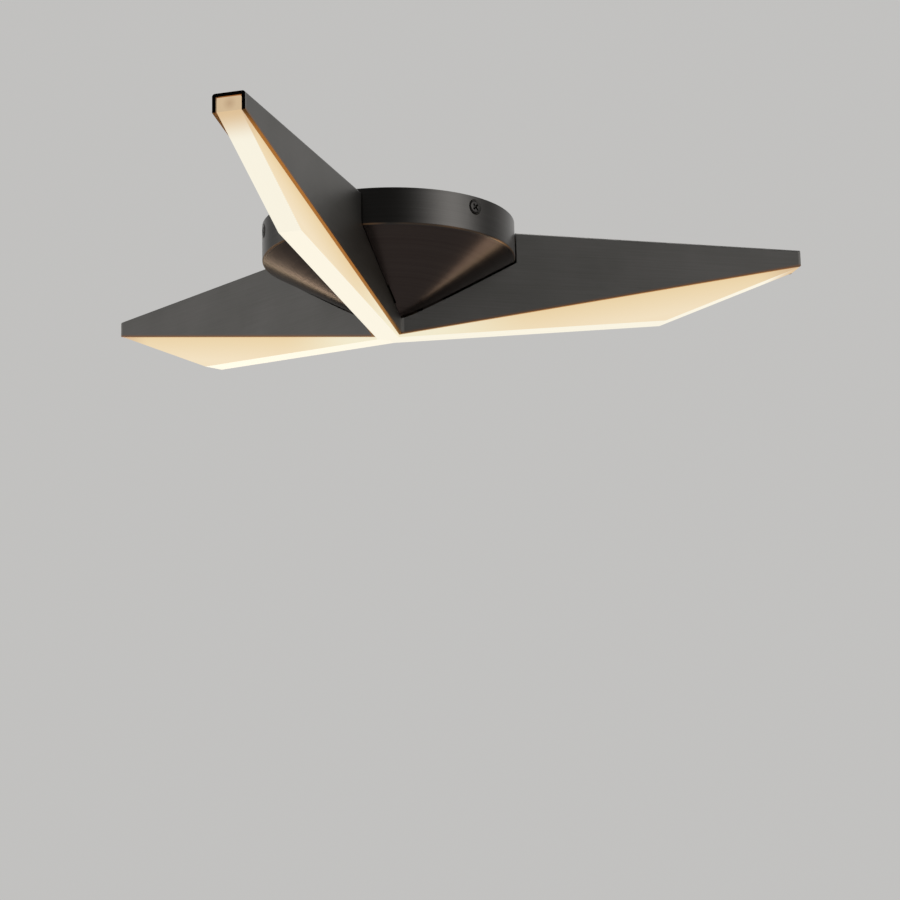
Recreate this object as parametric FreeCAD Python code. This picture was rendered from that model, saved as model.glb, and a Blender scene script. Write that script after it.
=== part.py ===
import FreeCAD, Part
import math
import os

# Flush mount ceiling light: a round canopy, three folded arms, and a lit acrylic blade in each arm.
# The origin is the canopy's centre on the ceiling. +Z points up into the ceiling, and arm 1 runs
# along +X. Sizes are in millimetres. A depth is measured down from the ceiling, a reach is measured
# out from the centre, and a gap or clearance is on one side.

Vector = FreeCAD.Vector

# Canopy: a spun shell with a short upright rim and a shallow cone under it
CANOPY_DIAMETER = 150.0
CANOPY_SHEET = 1.5
RIM_HEIGHT = 21.2
RIM_FOLD_RADIUS = 1.2
SLOT_REACH = 36.0            # of the slots in the cone, which the trays and leads pass
NOTCH_GAP = 0.8              # between the arms' tongues and the slots' notches that they pass
CONE_GAP = 0.9               # between the cone and the arms' walls under it

# Arms: folded sheet channels, open below and at the tip
ARM_COUNT = 3
ARM_REACH = 256.0
ARM_WIDTH = 18.0
ARM_SHEET = 2.0
ARM_FOLD_RADIUS = 1.6        # outside of the two folds along the top
ARM_INNER_RADIUS = 0.3       # inside of those folds
ARM_RIM_GAP = 1.2            # between the canopy's rim and the channel's upright end
TOP_DEPTH_AT_RIM = 2.3
TOP_DEPTH_AT_TIP = 4.5
TIP_HEIGHT = 10.1
HUB_DEPTH = 68.9             # where the lower edges of the arms would meet on the centre line
HUB_WALL_HEIGHT = 4.5        # from there up to the arms' trim under the cone
SEAM_GAP = 0.05              # in the mitred seams at the hub

# Tabs on tongues of the arms' walls, which stand up through the cone and are screwed to the hub plate
TAB_REACH = 18.0
TAB_LENGTH = 12.0
TAB_WIDTH = 10.0
TAB_FOLD_RADIUS = 3.0

# Acrylic blades
BLADE_SIDE_GAP = 0.5
BLADE_TOP_GAP = 0.5          # under the channel's top at the tip
BLADE_BEND_REACH = 168.6
BLADE_BEND_DEPTH = 52.3
BLADE_HUB_DROP = 0.9         # below the channel's lower edge, on the centre line

# LED trays, boards and LEDs
TRAY_SHEET = 1.5
TRAY_SIDE_GAP = 0.2
TRAY_FOLD_RADIUS = 2.5
TRAY_LEG_REACH = 14.0
TRAY_FOOT_LENGTH = 14.0
TRAY_END_LENGTH = 9.0        # the stretch that lies flat under the channel's top
BOARD_THICKNESS = 1.0
BOARD_WIDTH = 10.0
BOARD_START = 28.0
BOARD_END_MARGIN = 11.0      # from the board's end to the tray's last fold
LED_LENGTH = 3.5
LED_WIDTH = 2.8
LED_HEIGHT = 0.8
LED_PITCH = 12.0
LED_END_MARGIN = 8.0         # from the board's ends to the outermost LEDs
LED_AIR_GAP = 1.2            # from an LED down to the blade

# Hub plate: a pressed dish whose three brims are welded to the inside of the cone
HUB_FLAT_RADIUS = 45.6       # of its flat middle, where the brims turn down
HUB_SHEET = 2.0
HUB_EDGE_MARGIN = 1.5
BRIM_REACH = 14.0
BRIM_ANGLE = 50.0
WELD_GAP = 0.05

# Mounting bracket: a ring plate with three turned-down ears
BRACKET_DIAMETER = 122.0
BRACKET_SHEET = 2.0
WIRE_HOLE_DIAMETER = 40.0
BOX_SCREW_SPACING = 88.9
BOX_SLOT_LENGTH = 12.0
BOX_SLOT_WIDTH = 4.8
EAR_WIDTH = 16.0
EAR_DEPTH = 12.0
EAR_GAP = 0.3                # between an ear and the screw's dimple
EAR_FOLD_RADIUS = 3.5
GROUND_SCREW_REACH = 38.0

# Canopy screws: raised countersunk, in dimples of the rim
CANOPY_SCREW_DEPTH = 6.3
CANOPY_SCREW_DIAMETER = 4.0
CANOPY_SCREW_HEAD = 8.0
CANOPY_SCREW_CROWN = 0.7
CANOPY_SCREW_LENGTH = 10.0
CROSS_LENGTH = 5.0
CROSS_WIDTH = 1.0
CROSS_DEPTH = 1.6
CROSS_TURN = 45              # of the recess from upright, in degrees, as last tightened
SEAT_DIAMETER = 9.4
SEAT_GAP = 0.05
DIMPLE_FLOOR = 1.0
THREAD_GAP = 0.05
HOLE_GAP = 0.25

# Pan head screws and nuts inside the canopy
ARM_SCREW_DIAMETER = 4.0
ARM_SCREW_HEAD = 8.0
ARM_SCREW_HEAD_HEIGHT = 2.6
ARM_NUT_WIDTH = 7.0
ARM_NUT_HEIGHT = 3.2
TRAY_SCREW_DIAMETER = 3.0
TRAY_SCREW_HEAD = 5.6
TRAY_SCREW_HEAD_HEIGHT = 2.2
TRAY_NUT_WIDTH = 5.5
TRAY_NUT_HEIGHT = 2.4
SCREW_END = 1.0              # what shows past a nut
GROUND_SCREW_HEAD = 8.5
GROUND_SCREW_HEAD_HEIGHT = 3.4
GROUND_SCREW_TOP_GAP = 0.3   # below the ceiling

# Rivets at the tip end of the trays
RIVET_DIAMETER = 3.0
RIVET_HEAD = 5.2
RIVET_HEAD_HEIGHT = 1.0
RIVET_SETBACK = 3.6          # from the tray's last fold

# Driver and its terminals
DRIVER_LENGTH = 64.0
DRIVER_WIDTH = 30.0
DRIVER_HEIGHT = 18.0
DRIVER_CORNER_RADIUS = 3.0
DRIVER_SHIFT = 3.0           # along +X from the centre
DRIVER_LID = 2.0
LID_INSET = 0.6
DRIVER_EAR_LENGTH = 10.0
DRIVER_EAR_WIDTH = 10.0
DRIVER_EAR_SHEET = 2.5
SPACER_HEIGHT = 4.0
SPACER_DIAMETER = 7.0
TERMINAL_WIDTH = 22.0
TERMINAL_LENGTH = 8.0
TERMINAL_HEIGHT = 10.0
TERMINAL_LEVEL = 5.0         # above the driver's base
POLE_COUNT = 3
POLE_PITCH = 7.0
POLE_MOUTH = 3.6
POLE_MOUTH_DEPTH = 4.0

# Leads from the driver to the LED boards, through bushes in the hub plate
LEAD_DIAMETER = 2.0
LEAD_SIDES = 8
LEAD_RISE = 4.0              # of the two short leads, above the driver's poles
LONG_LEAD_RISE = 9.0
LEAD_HOLE_REACH = 33.5
LEAD_END_GAP = 0.25
LEAD_ARC_SHARE = 0.45        # of the shorter run beside a bend
GROMMET_HOLE = 6.4
GROMMET_FLANGE = 8.4
GROMMET_LIP = 1.0
GROMMET_GAP = 0.05

# Worked out from the sizes above
ARM_STEP = 360.0 / ARM_COUNT
MITRE_SLOPE = math.tan(math.pi / ARM_COUNT)
CANOPY_RADIUS = CANOPY_DIAMETER / 2
CANOPY_INNER_RADIUS = CANOPY_RADIUS - CANOPY_SHEET
CONE_DEPTH = HUB_DEPTH - HUB_WALL_HEIGHT - CONE_GAP - RIM_HEIGHT
CONE_ANGLE = math.atan2(CONE_DEPTH, CANOPY_RADIUS)
CONE_SHEET_HEIGHT = CANOPY_SHEET / math.cos(CONE_ANGLE)
ARM_HALF = ARM_WIDTH / 2
CHANNEL_HALF = ARM_HALF - ARM_SHEET
NOTCH_HALF = ARM_HALF + NOTCH_GAP
CHANNEL_START = CANOPY_RADIUS + ARM_RIM_GAP
TIP_DEPTH = TOP_DEPTH_AT_TIP + TIP_HEIGHT
EDGE_SLOPE = (HUB_DEPTH - TIP_DEPTH) / ARM_REACH
EDGE_ANGLE = math.atan(EDGE_SLOPE)
BLADE_HELD = TIP_HEIGHT - ARM_SHEET - BLADE_TOP_GAP
LED_LEVEL = BLADE_HELD + LED_AIR_GAP
BOARD_LEVEL = LED_LEVEL + LED_HEIGHT / math.cos(EDGE_ANGLE)
TRAY_LEVEL = BOARD_LEVEL + BOARD_THICKNESS / math.cos(EDGE_ANGLE)
HUB_LEVEL = RIM_HEIGHT + CONE_DEPTH * (1 - HUB_FLAT_RADIUS / CANOPY_RADIUS) - CONE_SHEET_HEIGHT - WELD_GAP
HUB_TOP = HUB_SHEET - HUB_LEVEL
TRAY_HALF = CHANNEL_HALF - ARM_INNER_RADIUS - TRAY_SIDE_GAP
TAB_SCREW_REACH = TAB_REACH + TAB_LENGTH / 2
TAB_SCREW_SIDE = ARM_HALF + TAB_WIDTH / 2
TRAY_SCREW_REACH = TRAY_LEG_REACH + TRAY_SHEET + (TRAY_FOOT_LENGTH - TRAY_SHEET) / 2
SEAT_DEPTH = SEAT_DIAMETER / 2 - CANOPY_SCREW_DIAMETER / 2 - HOLE_GAP
DIMPLE_DEPTH = SEAT_DEPTH + DIMPLE_FLOOR
EAR_REACH = CANOPY_RADIUS - DIMPLE_DEPTH - EAR_GAP
DRIVER_BASE = HUB_TOP + SPACER_HEIGHT
DRIVER_END = DRIVER_LENGTH / 2
DRIVER_SCREW_SIDE = DRIVER_END + DRIVER_EAR_LENGTH / 2


def cone_at(reach):
    """Height of the cone's outer surface."""
    return -RIM_HEIGHT - CONE_DEPTH * (1 - reach / CANOPY_RADIUS)


def cone_reach(height):
    """Reach at which the cone's outer surface has this height."""
    return CANOPY_RADIUS * (1 + (height + RIM_HEIGHT) / CONE_DEPTH)


def edge_at(reach):
    """Height of a channel's lower edge."""
    return -HUB_DEPTH + EDGE_SLOPE * reach


def top_at(reach):
    """Height of a channel's top."""
    share = (reach - CANOPY_RADIUS) / (ARM_REACH - CANOPY_RADIUS)
    return -TOP_DEPTH_AT_RIM - (TOP_DEPTH_AT_TIP - TOP_DEPTH_AT_RIM) * share


def turned(shape, angle):
    """Copy of a shape, turned about the centre line."""
    copy = shape.copy()
    copy.rotate(Vector(0, 0, 0), Vector(0, 0, 1), angle)
    return copy


def round_the_arms(shape, offset=0.0):
    """One copy of a shape for each arm, in arm order."""
    return [turned(shape, offset + index * ARM_STEP) for index in range(ARM_COUNT)]


def face_of(corners):
    """Flat face with straight sides."""
    return Part.Face(Part.makePolygon(corners + corners[:1]))


def plate(outline, half_width):
    """Side view of (reach, height) points, extruded across an arm that runs along +X."""
    corners = [Vector(reach, -half_width, height) for reach, height in outline]
    return face_of(corners).extrude(Vector(0, 2 * half_width, 0))


def revolved(outline):
    """Half section of (radius, height) points, turned about the Z axis."""
    corners = [Vector(radius, 0, height) for radius, height in outline]
    return face_of(corners).revolve(Vector(0, 0, 0), Vector(0, 0, 1), 360)


def post(radius, low, high, place=(0.0, 0.0)):
    """Upright cylinder."""
    return Part.makeCylinder(radius, high - low, Vector(place[0], place[1], low))


def block(low, high):
    """Box between two corners."""
    size = Vector(*high) - Vector(*low)
    return Part.makeBox(size.x, size.y, size.z, Vector(*low))


def rounded_across(solid, corner, radius):
    """Rounds the edges that run across an arm at one (reach, height) corner."""
    place = Vector(corner[0], 0, corner[1])
    edges = []
    for edge in solid.Edges:
        ends = [Vector(vertex.X, 0, vertex.Z) for vertex in edge.Vertexes]
        if all(end.isEqual(place, 1e-4) for end in ends):
            edges.append(edge)
    return solid.makeFillet(radius, edges)


def bent_strip(route, sheet, width, fold_radius, folds):
    """Sheet strip that lies to the left of a (reach, height) route, with some of its corners folded."""
    normals = []
    for (x0, z0), (x1, z1) in zip(route, route[1:]):
        run = math.hypot(x1 - x0, z1 - z0)
        normals.append(((z0 - z1) / run, (x1 - x0) / run))
    far_side = []
    for index, (x, z) in enumerate(route):
        before = normals[max(index - 1, 0)]
        after = normals[min(index, len(normals) - 1)]
        spread = sheet / (1 + before[0] * after[0] + before[1] * after[1])
        far_side.append((x + spread * (before[0] + after[0]), z + spread * (before[1] + after[1])))
    strip = plate(route + far_side[::-1], width / 2)
    for index in folds:
        before, after = normals[index - 1], normals[index]
        left_turn = before[0] * after[1] - before[1] * after[0] > 0
        outside, inside = route[index], far_side[index]
        if not left_turn:
            outside, inside = inside, outside
        strip = rounded_across(strip, outside, fold_radius)
        strip = rounded_across(strip, inside, fold_radius - sheet)
    return strip


def pan_screw(diameter, head, head_height, length):
    """Pan head screw along Z, with the underside of its head at height 0."""
    bevel = head_height / 2
    outline = [
        (0, -length),
        (diameter / 2, -length),
        (diameter / 2, 0),
        (head / 2, 0),
        (head / 2, head_height - bevel),
        (head / 2 - bevel, head_height),
        (0, head_height),
    ]
    return revolved(outline)


def hex_nut(diameter, width, height):
    """Hexagon nut along Z, with its upper face at height 0."""
    corner = width / math.sqrt(3)
    angles = [index * math.pi / 3 for index in range(6)]
    corners = [Vector(corner * math.cos(angle), corner * math.sin(angle), 0) for angle in angles]
    body = face_of(corners).extrude(Vector(0, 0, -height))
    return body.cut(post(diameter / 2 + THREAD_GAP, -height, 0))


def placed(shape, reach, side, height):
    """Copy of a shape, moved to a place beside an arm that runs along +X."""
    copy = shape.copy()
    copy.translate(Vector(reach, side, height))
    return copy


def on_edge_slope(shape, reach, height):
    """Copy of a shape, tilted to lie along a channel's lower edge."""
    copy = shape.copy()
    copy.rotate(Vector(0, 0, 0), Vector(0, 1, 0), -math.degrees(EDGE_ANGLE))
    copy.translate(Vector(reach, 0, height))
    return copy


def out_of_rim(shape):
    """Copy of an upright shape, turned to point out through the rim along +X at the screws' depth."""
    copy = shape.copy()
    copy.rotate(Vector(0, 0, 0), Vector(0, 1, 0), 90)
    copy.translate(Vector(0, 0, -CANOPY_SCREW_DEPTH))
    return copy


def half_turn(before, corner, after):
    """Half of the angle by which a route turns at a corner."""
    return (math.pi - (before - corner).getAngle(after - corner)) / 2


def corner_arc(before, corner, after, radius):
    """Start, middle and end of the arc that rounds a corner of a route."""
    back = (before - corner).normalize()
    onward = (after - corner).normalize()
    turn = half_turn(before, corner, after)
    setback = radius * math.tan(turn)
    inward = (back + onward).normalize()
    middle = corner + inward * (radius / math.cos(turn) - radius)
    return corner + back * setback, middle, corner + onward * setback


def mitre_wedge(gap):
    """The sector of the plan that belongs to an arm along +X, cut back by a gap at the seams."""
    start = gap / math.sin(math.pi / ARM_COUNT)
    far = 2 * ARM_REACH
    spread = (far - start) * MITRE_SLOPE
    corners = [Vector(start, 0, -far), Vector(far, -spread, -far), Vector(far, spread, -far)]
    return face_of(corners).extrude(Vector(0, 0, 2 * far))


def make_canopy_shell():
    """Spun rim and cone, slotted over the arms, with a dimple for each canopy screw."""
    top = Vector(CANOPY_RADIUS, 0, 0)
    fold = Vector(CANOPY_RADIUS, 0, -RIM_HEIGHT)
    cone_end = Vector(CHANNEL_HALF, 0, cone_at(CHANNEL_HALF))
    fold_start, fold_middle, fold_end = corner_arc(top, fold, cone_end, RIM_FOLD_RADIUS)
    inside = Part.makePolygon([
        fold_end,
        cone_end,
        Vector(CHANNEL_HALF, 0, cone_end.z + CONE_SHEET_HEIGHT),
        Vector(CANOPY_INNER_RADIUS, 0, cone_at(CANOPY_INNER_RADIUS) + CONE_SHEET_HEIGHT),
        Vector(CANOPY_INNER_RADIUS, 0, 0),
        top,
        fold_start,
    ])
    section = Part.Face(Part.Wire([Part.Arc(fold_start, fold_middle, fold_end).toShape()] + inside.Edges))
    shell = section.revolve(Vector(0, 0, 0), Vector(0, 0, 1), 360)
    slot = block((0, -CHANNEL_HALF, -HUB_DEPTH), (SLOT_REACH, CHANNEL_HALF, 0))
    notch = block(
        (TAB_REACH - NOTCH_GAP, -NOTCH_HALF, -HUB_DEPTH),
        (TAB_REACH + TAB_LENGTH + NOTCH_GAP, NOTCH_HALF, 0),
    )
    shell = shell.cut(round_the_arms(slot.fuse(notch)))

    wall = CANOPY_SHEET * math.sqrt(2)
    cup = Part.makeCone(
        SEAT_DIAMETER / 2 - DIMPLE_DEPTH + wall,
        SEAT_DIAMETER / 2 - CANOPY_SHEET / 2 + wall,
        DIMPLE_DEPTH - CANOPY_SHEET / 2,
        Vector(0, 0, CANOPY_RADIUS - DIMPLE_DEPTH),
    )
    hole_radius = CANOPY_SCREW_DIAMETER / 2 + HOLE_GAP
    seat = Part.makeCone(
        hole_radius, SEAT_DIAMETER / 2 + CANOPY_SHEET, SEAT_DEPTH + CANOPY_SHEET,
        Vector(0, 0, CANOPY_RADIUS - SEAT_DEPTH),
    )
    hole = post(hole_radius, CANOPY_RADIUS - 2 * DIMPLE_DEPTH, CANOPY_RADIUS)
    shell = shell.fuse(round_the_arms(out_of_rim(cup), ARM_STEP / 2))
    return shell.cut(round_the_arms(out_of_rim(seat.fuse(hole)), ARM_STEP / 2)).removeSplitter()


def make_canopy_screw():
    """Raised countersunk screw with a cross recess, in the rim on the +X side."""
    head_radius = CANOPY_SCREW_HEAD / 2
    shank_radius = CANOPY_SCREW_DIAMETER / 2
    head_depth = head_radius - shank_radius
    sphere = (head_radius ** 2 + CANOPY_SCREW_CROWN ** 2) / (2 * CANOPY_SCREW_CROWN)
    crown_side = head_radius / 2
    crown_height = math.sqrt(sphere ** 2 - crown_side ** 2) - sphere + CANOPY_SCREW_CROWN
    crown = Part.Arc(
        Vector(0, 0, CANOPY_SCREW_CROWN), Vector(crown_side, 0, crown_height), Vector(head_radius, 0, 0)
    )
    flank = Part.makePolygon([
        Vector(head_radius, 0, 0),
        Vector(shank_radius, 0, -head_depth),
        Vector(shank_radius, 0, -CANOPY_SCREW_LENGTH),
        Vector(0, 0, -CANOPY_SCREW_LENGTH),
        Vector(0, 0, CANOPY_SCREW_CROWN),
    ])
    section = Part.Face(Part.Wire([crown.toShape()] + flank.Edges))
    screw = section.revolve(Vector(0, 0, 0), Vector(0, 0, 1), 360)
    arm = block(
        (-CROSS_LENGTH / 2, -CROSS_WIDTH / 2, CANOPY_SCREW_CROWN - CROSS_DEPTH),
        (CROSS_LENGTH / 2, CROSS_WIDTH / 2, 2 * CANOPY_SCREW_CROWN),
    )
    screw = screw.cut(turned(arm.fuse(turned(arm, 90)), CROSS_TURN))
    sunk = (SEAT_DIAMETER - CANOPY_SCREW_HEAD) / 2 - SEAT_GAP * math.sqrt(2)
    return out_of_rim(placed(screw, 0, 0, CANOPY_RADIUS - sunk))


def make_mounting_bracket():
    """Ring plate with slots for the box screws, an earth screw hole and three folded ears."""
    radius = BRACKET_DIAMETER / 2
    ring = post(radius, -BRACKET_SHEET, 0)
    ear_route = [(EAR_REACH, -EAR_DEPTH), (EAR_REACH, 0), (radius - EAR_WIDTH / 2, 0)]
    ear = bent_strip(ear_route, BRACKET_SHEET, EAR_WIDTH, EAR_FOLD_RADIUS, [1])
    thread = post(CANOPY_SCREW_DIAMETER / 2 + THREAD_GAP, radius, CANOPY_RADIUS)
    ear = ear.cut(out_of_rim(thread))
    bracket = ring.fuse(round_the_arms(ear, ARM_STEP / 2)).removeSplitter()

    half_run = (BOX_SLOT_LENGTH - BOX_SLOT_WIDTH) / 2
    slot = block(
        (-BOX_SLOT_WIDTH / 2, -half_run, -BRACKET_SHEET), (BOX_SLOT_WIDTH / 2, half_run, 0)
    )
    for end in (-half_run, half_run):
        slot = slot.fuse(post(BOX_SLOT_WIDTH / 2, -BRACKET_SHEET, 0, (0, end)))
    slot = slot.removeSplitter()
    slots = [placed(slot, 0, side * BOX_SCREW_SPACING / 2, 0) for side in (-1, 1)]
    wire_hole = post(WIRE_HOLE_DIAMETER / 2, -BRACKET_SHEET, 0)
    ground_hole = post(ARM_SCREW_DIAMETER / 2 + THREAD_GAP, -BRACKET_SHEET, 0, (GROUND_SCREW_REACH, 0))
    return bracket.cut(slots + [wire_hole, ground_hole])


def make_ground_screw():
    """Earth screw, threaded up into the bracket."""
    length = BRACKET_SHEET - GROUND_SCREW_TOP_GAP
    screw = pan_screw(ARM_SCREW_DIAMETER, GROUND_SCREW_HEAD, GROUND_SCREW_HEAD_HEIGHT, length)
    screw.rotate(Vector(0, 0, 0), Vector(1, 0, 0), 180)
    return placed(screw, GROUND_SCREW_REACH, 0, -BRACKET_SHEET)


def cone_room():
    """The round space that the arms leave for the canopy: the cone and all above it, with a gap."""
    trim = [
        Vector(0, 0, cone_at(0) - CONE_GAP),
        Vector(CHANNEL_START, 0, cone_at(CHANNEL_START) - CONE_GAP),
        Vector(CHANNEL_START, 0, 0),
        Vector(0, 0, 0),
    ]
    return face_of(trim).revolve(Vector(0, 0, 0), Vector(0, 0, 1), 360)


def make_arm_channel():
    """Folded channel along +X: its walls run under the cone to the hub, with two tongues up through it."""
    outline = [
        (CHANNEL_START, top_at(CHANNEL_START)),
        (ARM_REACH, -TOP_DEPTH_AT_TIP),
        (ARM_REACH, -TIP_DEPTH),
        (0, -HUB_DEPTH),
        (0, -RIM_HEIGHT),
        (CHANNEL_START, -RIM_HEIGHT),
    ]
    outside = plate(outline, ARM_HALF)
    outside = outside.makeFillet(ARM_FOLD_RADIUS, top_folds(outside, 0)).cut(cone_room())
    tongue_top = -HUB_LEVEL - TAB_FOLD_RADIUS - ARM_SHEET
    tongues = block(
        (TAB_REACH, -ARM_HALF, cone_at(TAB_REACH) - CONE_GAP),
        (TAB_REACH + TAB_LENGTH, ARM_HALF, tongue_top),
    )
    outside = outside.fuse(tongues)

    past_tip = ARM_REACH + ARM_WIDTH
    hollow_outline = [
        (CHANNEL_START, top_at(CHANNEL_START) - ARM_SHEET),
        (past_tip, top_at(past_tip) - ARM_SHEET),
        (past_tip, -2 * HUB_DEPTH),
        (CHANNEL_START, -2 * HUB_DEPTH),
    ]
    hollow = plate(hollow_outline, CHANNEL_HALF)
    hollow = hollow.makeFillet(ARM_INNER_RADIUS, top_folds(hollow, ARM_SHEET))
    open_hub = block((-ARM_WIDTH, -CHANNEL_HALF, -2 * HUB_DEPTH), (CHANNEL_START, CHANNEL_HALF, 0))
    channel = outside.cut([hollow, open_hub])

    section = [
        (CHANNEL_HALF, tongue_top),
        (CHANNEL_HALF, -HUB_LEVEL),
        (ARM_HALF + TAB_WIDTH, -HUB_LEVEL),
        (ARM_HALF + TAB_WIDTH, -HUB_LEVEL - ARM_SHEET),
        (ARM_HALF, -HUB_LEVEL - ARM_SHEET),
        (ARM_HALF, tongue_top),
    ]
    tab = plate(section, TAB_LENGTH / 2)
    tab = rounded_across(tab, (CHANNEL_HALF, -HUB_LEVEL), TAB_FOLD_RADIUS)
    tab = rounded_across(tab, (ARM_HALF, -HUB_LEVEL - ARM_SHEET), TAB_FOLD_RADIUS - ARM_SHEET)
    tab = tab.cut(screw_hole(ARM_SCREW_DIAMETER, TAB_SCREW_SIDE, 0))
    left_tab = placed(turned(tab, 90), TAB_SCREW_REACH, 0, 0)
    right_tab = placed(turned(tab, -90), TAB_SCREW_REACH, 0, 0)
    channel = channel.fuse([left_tab, right_tab]).common(mitre_wedge(SEAM_GAP))
    return channel.cut(rivet_hole()).removeSplitter()


def top_folds(solid, drop):
    """The long edges of a channel that run along its top, lowered by a drop."""
    folds = []
    for edge in solid.Edges:
        ends = edge.Vertexes
        on_top = all(abs(end.Z - top_at(end.X) + drop) < 1e-4 for end in ends)
        along = abs(ends[0].X - ends[-1].X) > ARM_WIDTH
        if on_top and along:
            folds.append(edge)
    return folds


def screw_hole(diameter, reach, side):
    """Clearance hole through everything near the hub plate."""
    return post(diameter / 2 + HOLE_GAP, -HUB_DEPTH, 0, (reach, side))


def rivet_reach():
    """Where the rivet goes through the tray's end and the channel's top."""
    return tray_fold_reach() + RIVET_SETBACK


def rivet_hole():
    """Hole for the rivet at the tip end of a tray."""
    return post(RIVET_DIAMETER / 2 + THREAD_GAP, -HUB_DEPTH, 0, (rivet_reach(), 0))


def tray_fold_reach():
    """Where the tray's sloping run meets the stretch that lies under the channel's top."""
    top_slope = (top_at(ARM_REACH) - top_at(0)) / ARM_REACH
    rise = top_at(0) - ARM_SHEET - TRAY_SHEET - edge_at(0) - TRAY_LEVEL
    return rise / (EDGE_SLOPE - top_slope)


def make_led_tray():
    """Bent strip: a foot under the hub plate, a leg, a long run above the LEDs and an end under the top."""
    fold = tray_fold_reach()
    end = fold + TRAY_END_LENGTH
    route = [
        (TRAY_LEG_REACH + TRAY_FOOT_LENGTH, -HUB_LEVEL),
        (TRAY_LEG_REACH, -HUB_LEVEL),
        (TRAY_LEG_REACH, edge_at(TRAY_LEG_REACH) + TRAY_LEVEL),
        (fold, edge_at(fold) + TRAY_LEVEL),
        (end, top_at(end) - ARM_SHEET - TRAY_SHEET),
    ]
    tray = bent_strip(route, TRAY_SHEET, 2 * TRAY_HALF, TRAY_FOLD_RADIUS, [1, 2])
    lead_hole = post(LEAD_DIAMETER, -HUB_DEPTH, 0, (LEAD_HOLE_REACH, 0))
    return tray.cut([screw_hole(TRAY_SCREW_DIAMETER, TRAY_SCREW_REACH, 0), lead_hole, rivet_hole()])


def board_end():
    """Reach of the LED board's outer end."""
    return tray_fold_reach() - BOARD_END_MARGIN


def make_led_board():
    """Flat circuit board, bonded under the tray's long run."""
    length = (board_end() - BOARD_START) / math.cos(EDGE_ANGLE)
    board = block((0, -BOARD_WIDTH / 2, 0), (length, BOARD_WIDTH / 2, BOARD_THICKNESS))
    return on_edge_slope(board, BOARD_START, edge_at(BOARD_START) + BOARD_LEVEL)


def make_leds():
    """Row of LED packages under the board."""
    first = BOARD_START + LED_END_MARGIN
    count = int((board_end() - LED_END_MARGIN - first) / LED_PITCH) + 1
    package = block((0, -LED_WIDTH / 2, -LED_HEIGHT), (LED_LENGTH, LED_WIDTH / 2, 0))
    leds = []
    for index in range(count):
        reach = first + index * LED_PITCH
        leds.append(on_edge_slope(package, reach, edge_at(reach) + BOARD_LEVEL))
    return leds


def make_diffuser():
    """Acrylic blade: its top stands in the channel, and its lower edge has one bend."""
    outline = [
        (ARM_REACH, edge_at(ARM_REACH)),
        (ARM_REACH, edge_at(ARM_REACH) + BLADE_HELD),
        (0, edge_at(0) + BLADE_HELD),
        (0, edge_at(0) - BLADE_HUB_DROP),
        (BLADE_BEND_REACH, -BLADE_BEND_DEPTH),
    ]
    blade = plate(outline, CHANNEL_HALF - BLADE_SIDE_GAP)
    return blade.common(mitre_wedge(SEAM_GAP))


def make_hub_plate():
    """Pressed dish: a flat middle that carries arms and driver, and brims that lie on the cone."""
    inside = CONE_SHEET_HEIGHT + WELD_GAP
    brim_height = HUB_SHEET / math.cos(CONE_ANGLE)
    high_fold = cone_reach(HUB_TOP - inside - brim_height)
    brim_end = HUB_FLAT_RADIUS + BRIM_REACH
    outline = [
        (0, -HUB_LEVEL),
        (HUB_FLAT_RADIUS, -HUB_LEVEL),
        (brim_end, cone_at(brim_end) + inside),
        (brim_end, cone_at(brim_end) + inside + brim_height),
        (high_fold, HUB_TOP),
        (0, HUB_TOP),
    ]
    dish = revolved(outline)

    half_angle = math.radians((ARM_STEP - BRIM_ANGLE) / 2)
    far = 2 * CANOPY_RADIUS
    spread = far * math.tan(half_angle)
    corners = [Vector(0, 0, -far), Vector(far, -spread, -far), Vector(far, spread, -far)]
    sector = face_of(corners).extrude(Vector(0, 0, 2 * far))
    between_brims = sector.cut(post(HUB_FLAT_RADIUS - HUB_EDGE_MARGIN, -far, far))
    holes = [
        screw_hole(ARM_SCREW_DIAMETER, TAB_SCREW_REACH, TAB_SCREW_SIDE),
        screw_hole(ARM_SCREW_DIAMETER, TAB_SCREW_REACH, -TAB_SCREW_SIDE),
        screw_hole(TRAY_SCREW_DIAMETER, TRAY_SCREW_REACH, 0),
        post(GROMMET_HOLE / 2, -HUB_DEPTH, 0, (LEAD_HOLE_REACH, 0)),
    ]
    cuts = []
    for shape in [between_brims] + holes:
        cuts += round_the_arms(shape)
    for side in (-1, 1):
        place = (DRIVER_SHIFT, side * DRIVER_SCREW_SIDE)
        cuts.append(post(TRAY_SCREW_DIAMETER / 2 + THREAD_GAP, -HUB_DEPTH, 0, place))
    return dish.cut(cuts)


def make_arm_fasteners():
    """Screws and nuts that hold the arms' tabs under the hub plate."""
    clamped = HUB_SHEET + ARM_SHEET
    length = clamped + ARM_NUT_HEIGHT + SCREW_END
    screw = pan_screw(ARM_SCREW_DIAMETER, ARM_SCREW_HEAD, ARM_SCREW_HEAD_HEIGHT, length)
    nut = hex_nut(ARM_SCREW_DIAMETER, ARM_NUT_WIDTH, ARM_NUT_HEIGHT)
    screws = []
    nuts = []
    for side in (-TAB_SCREW_SIDE, TAB_SCREW_SIDE):
        screws += round_the_arms(placed(screw, TAB_SCREW_REACH, side, HUB_TOP))
        nuts += round_the_arms(placed(nut, TAB_SCREW_REACH, side, HUB_TOP - clamped))
    return screws, nuts


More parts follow.
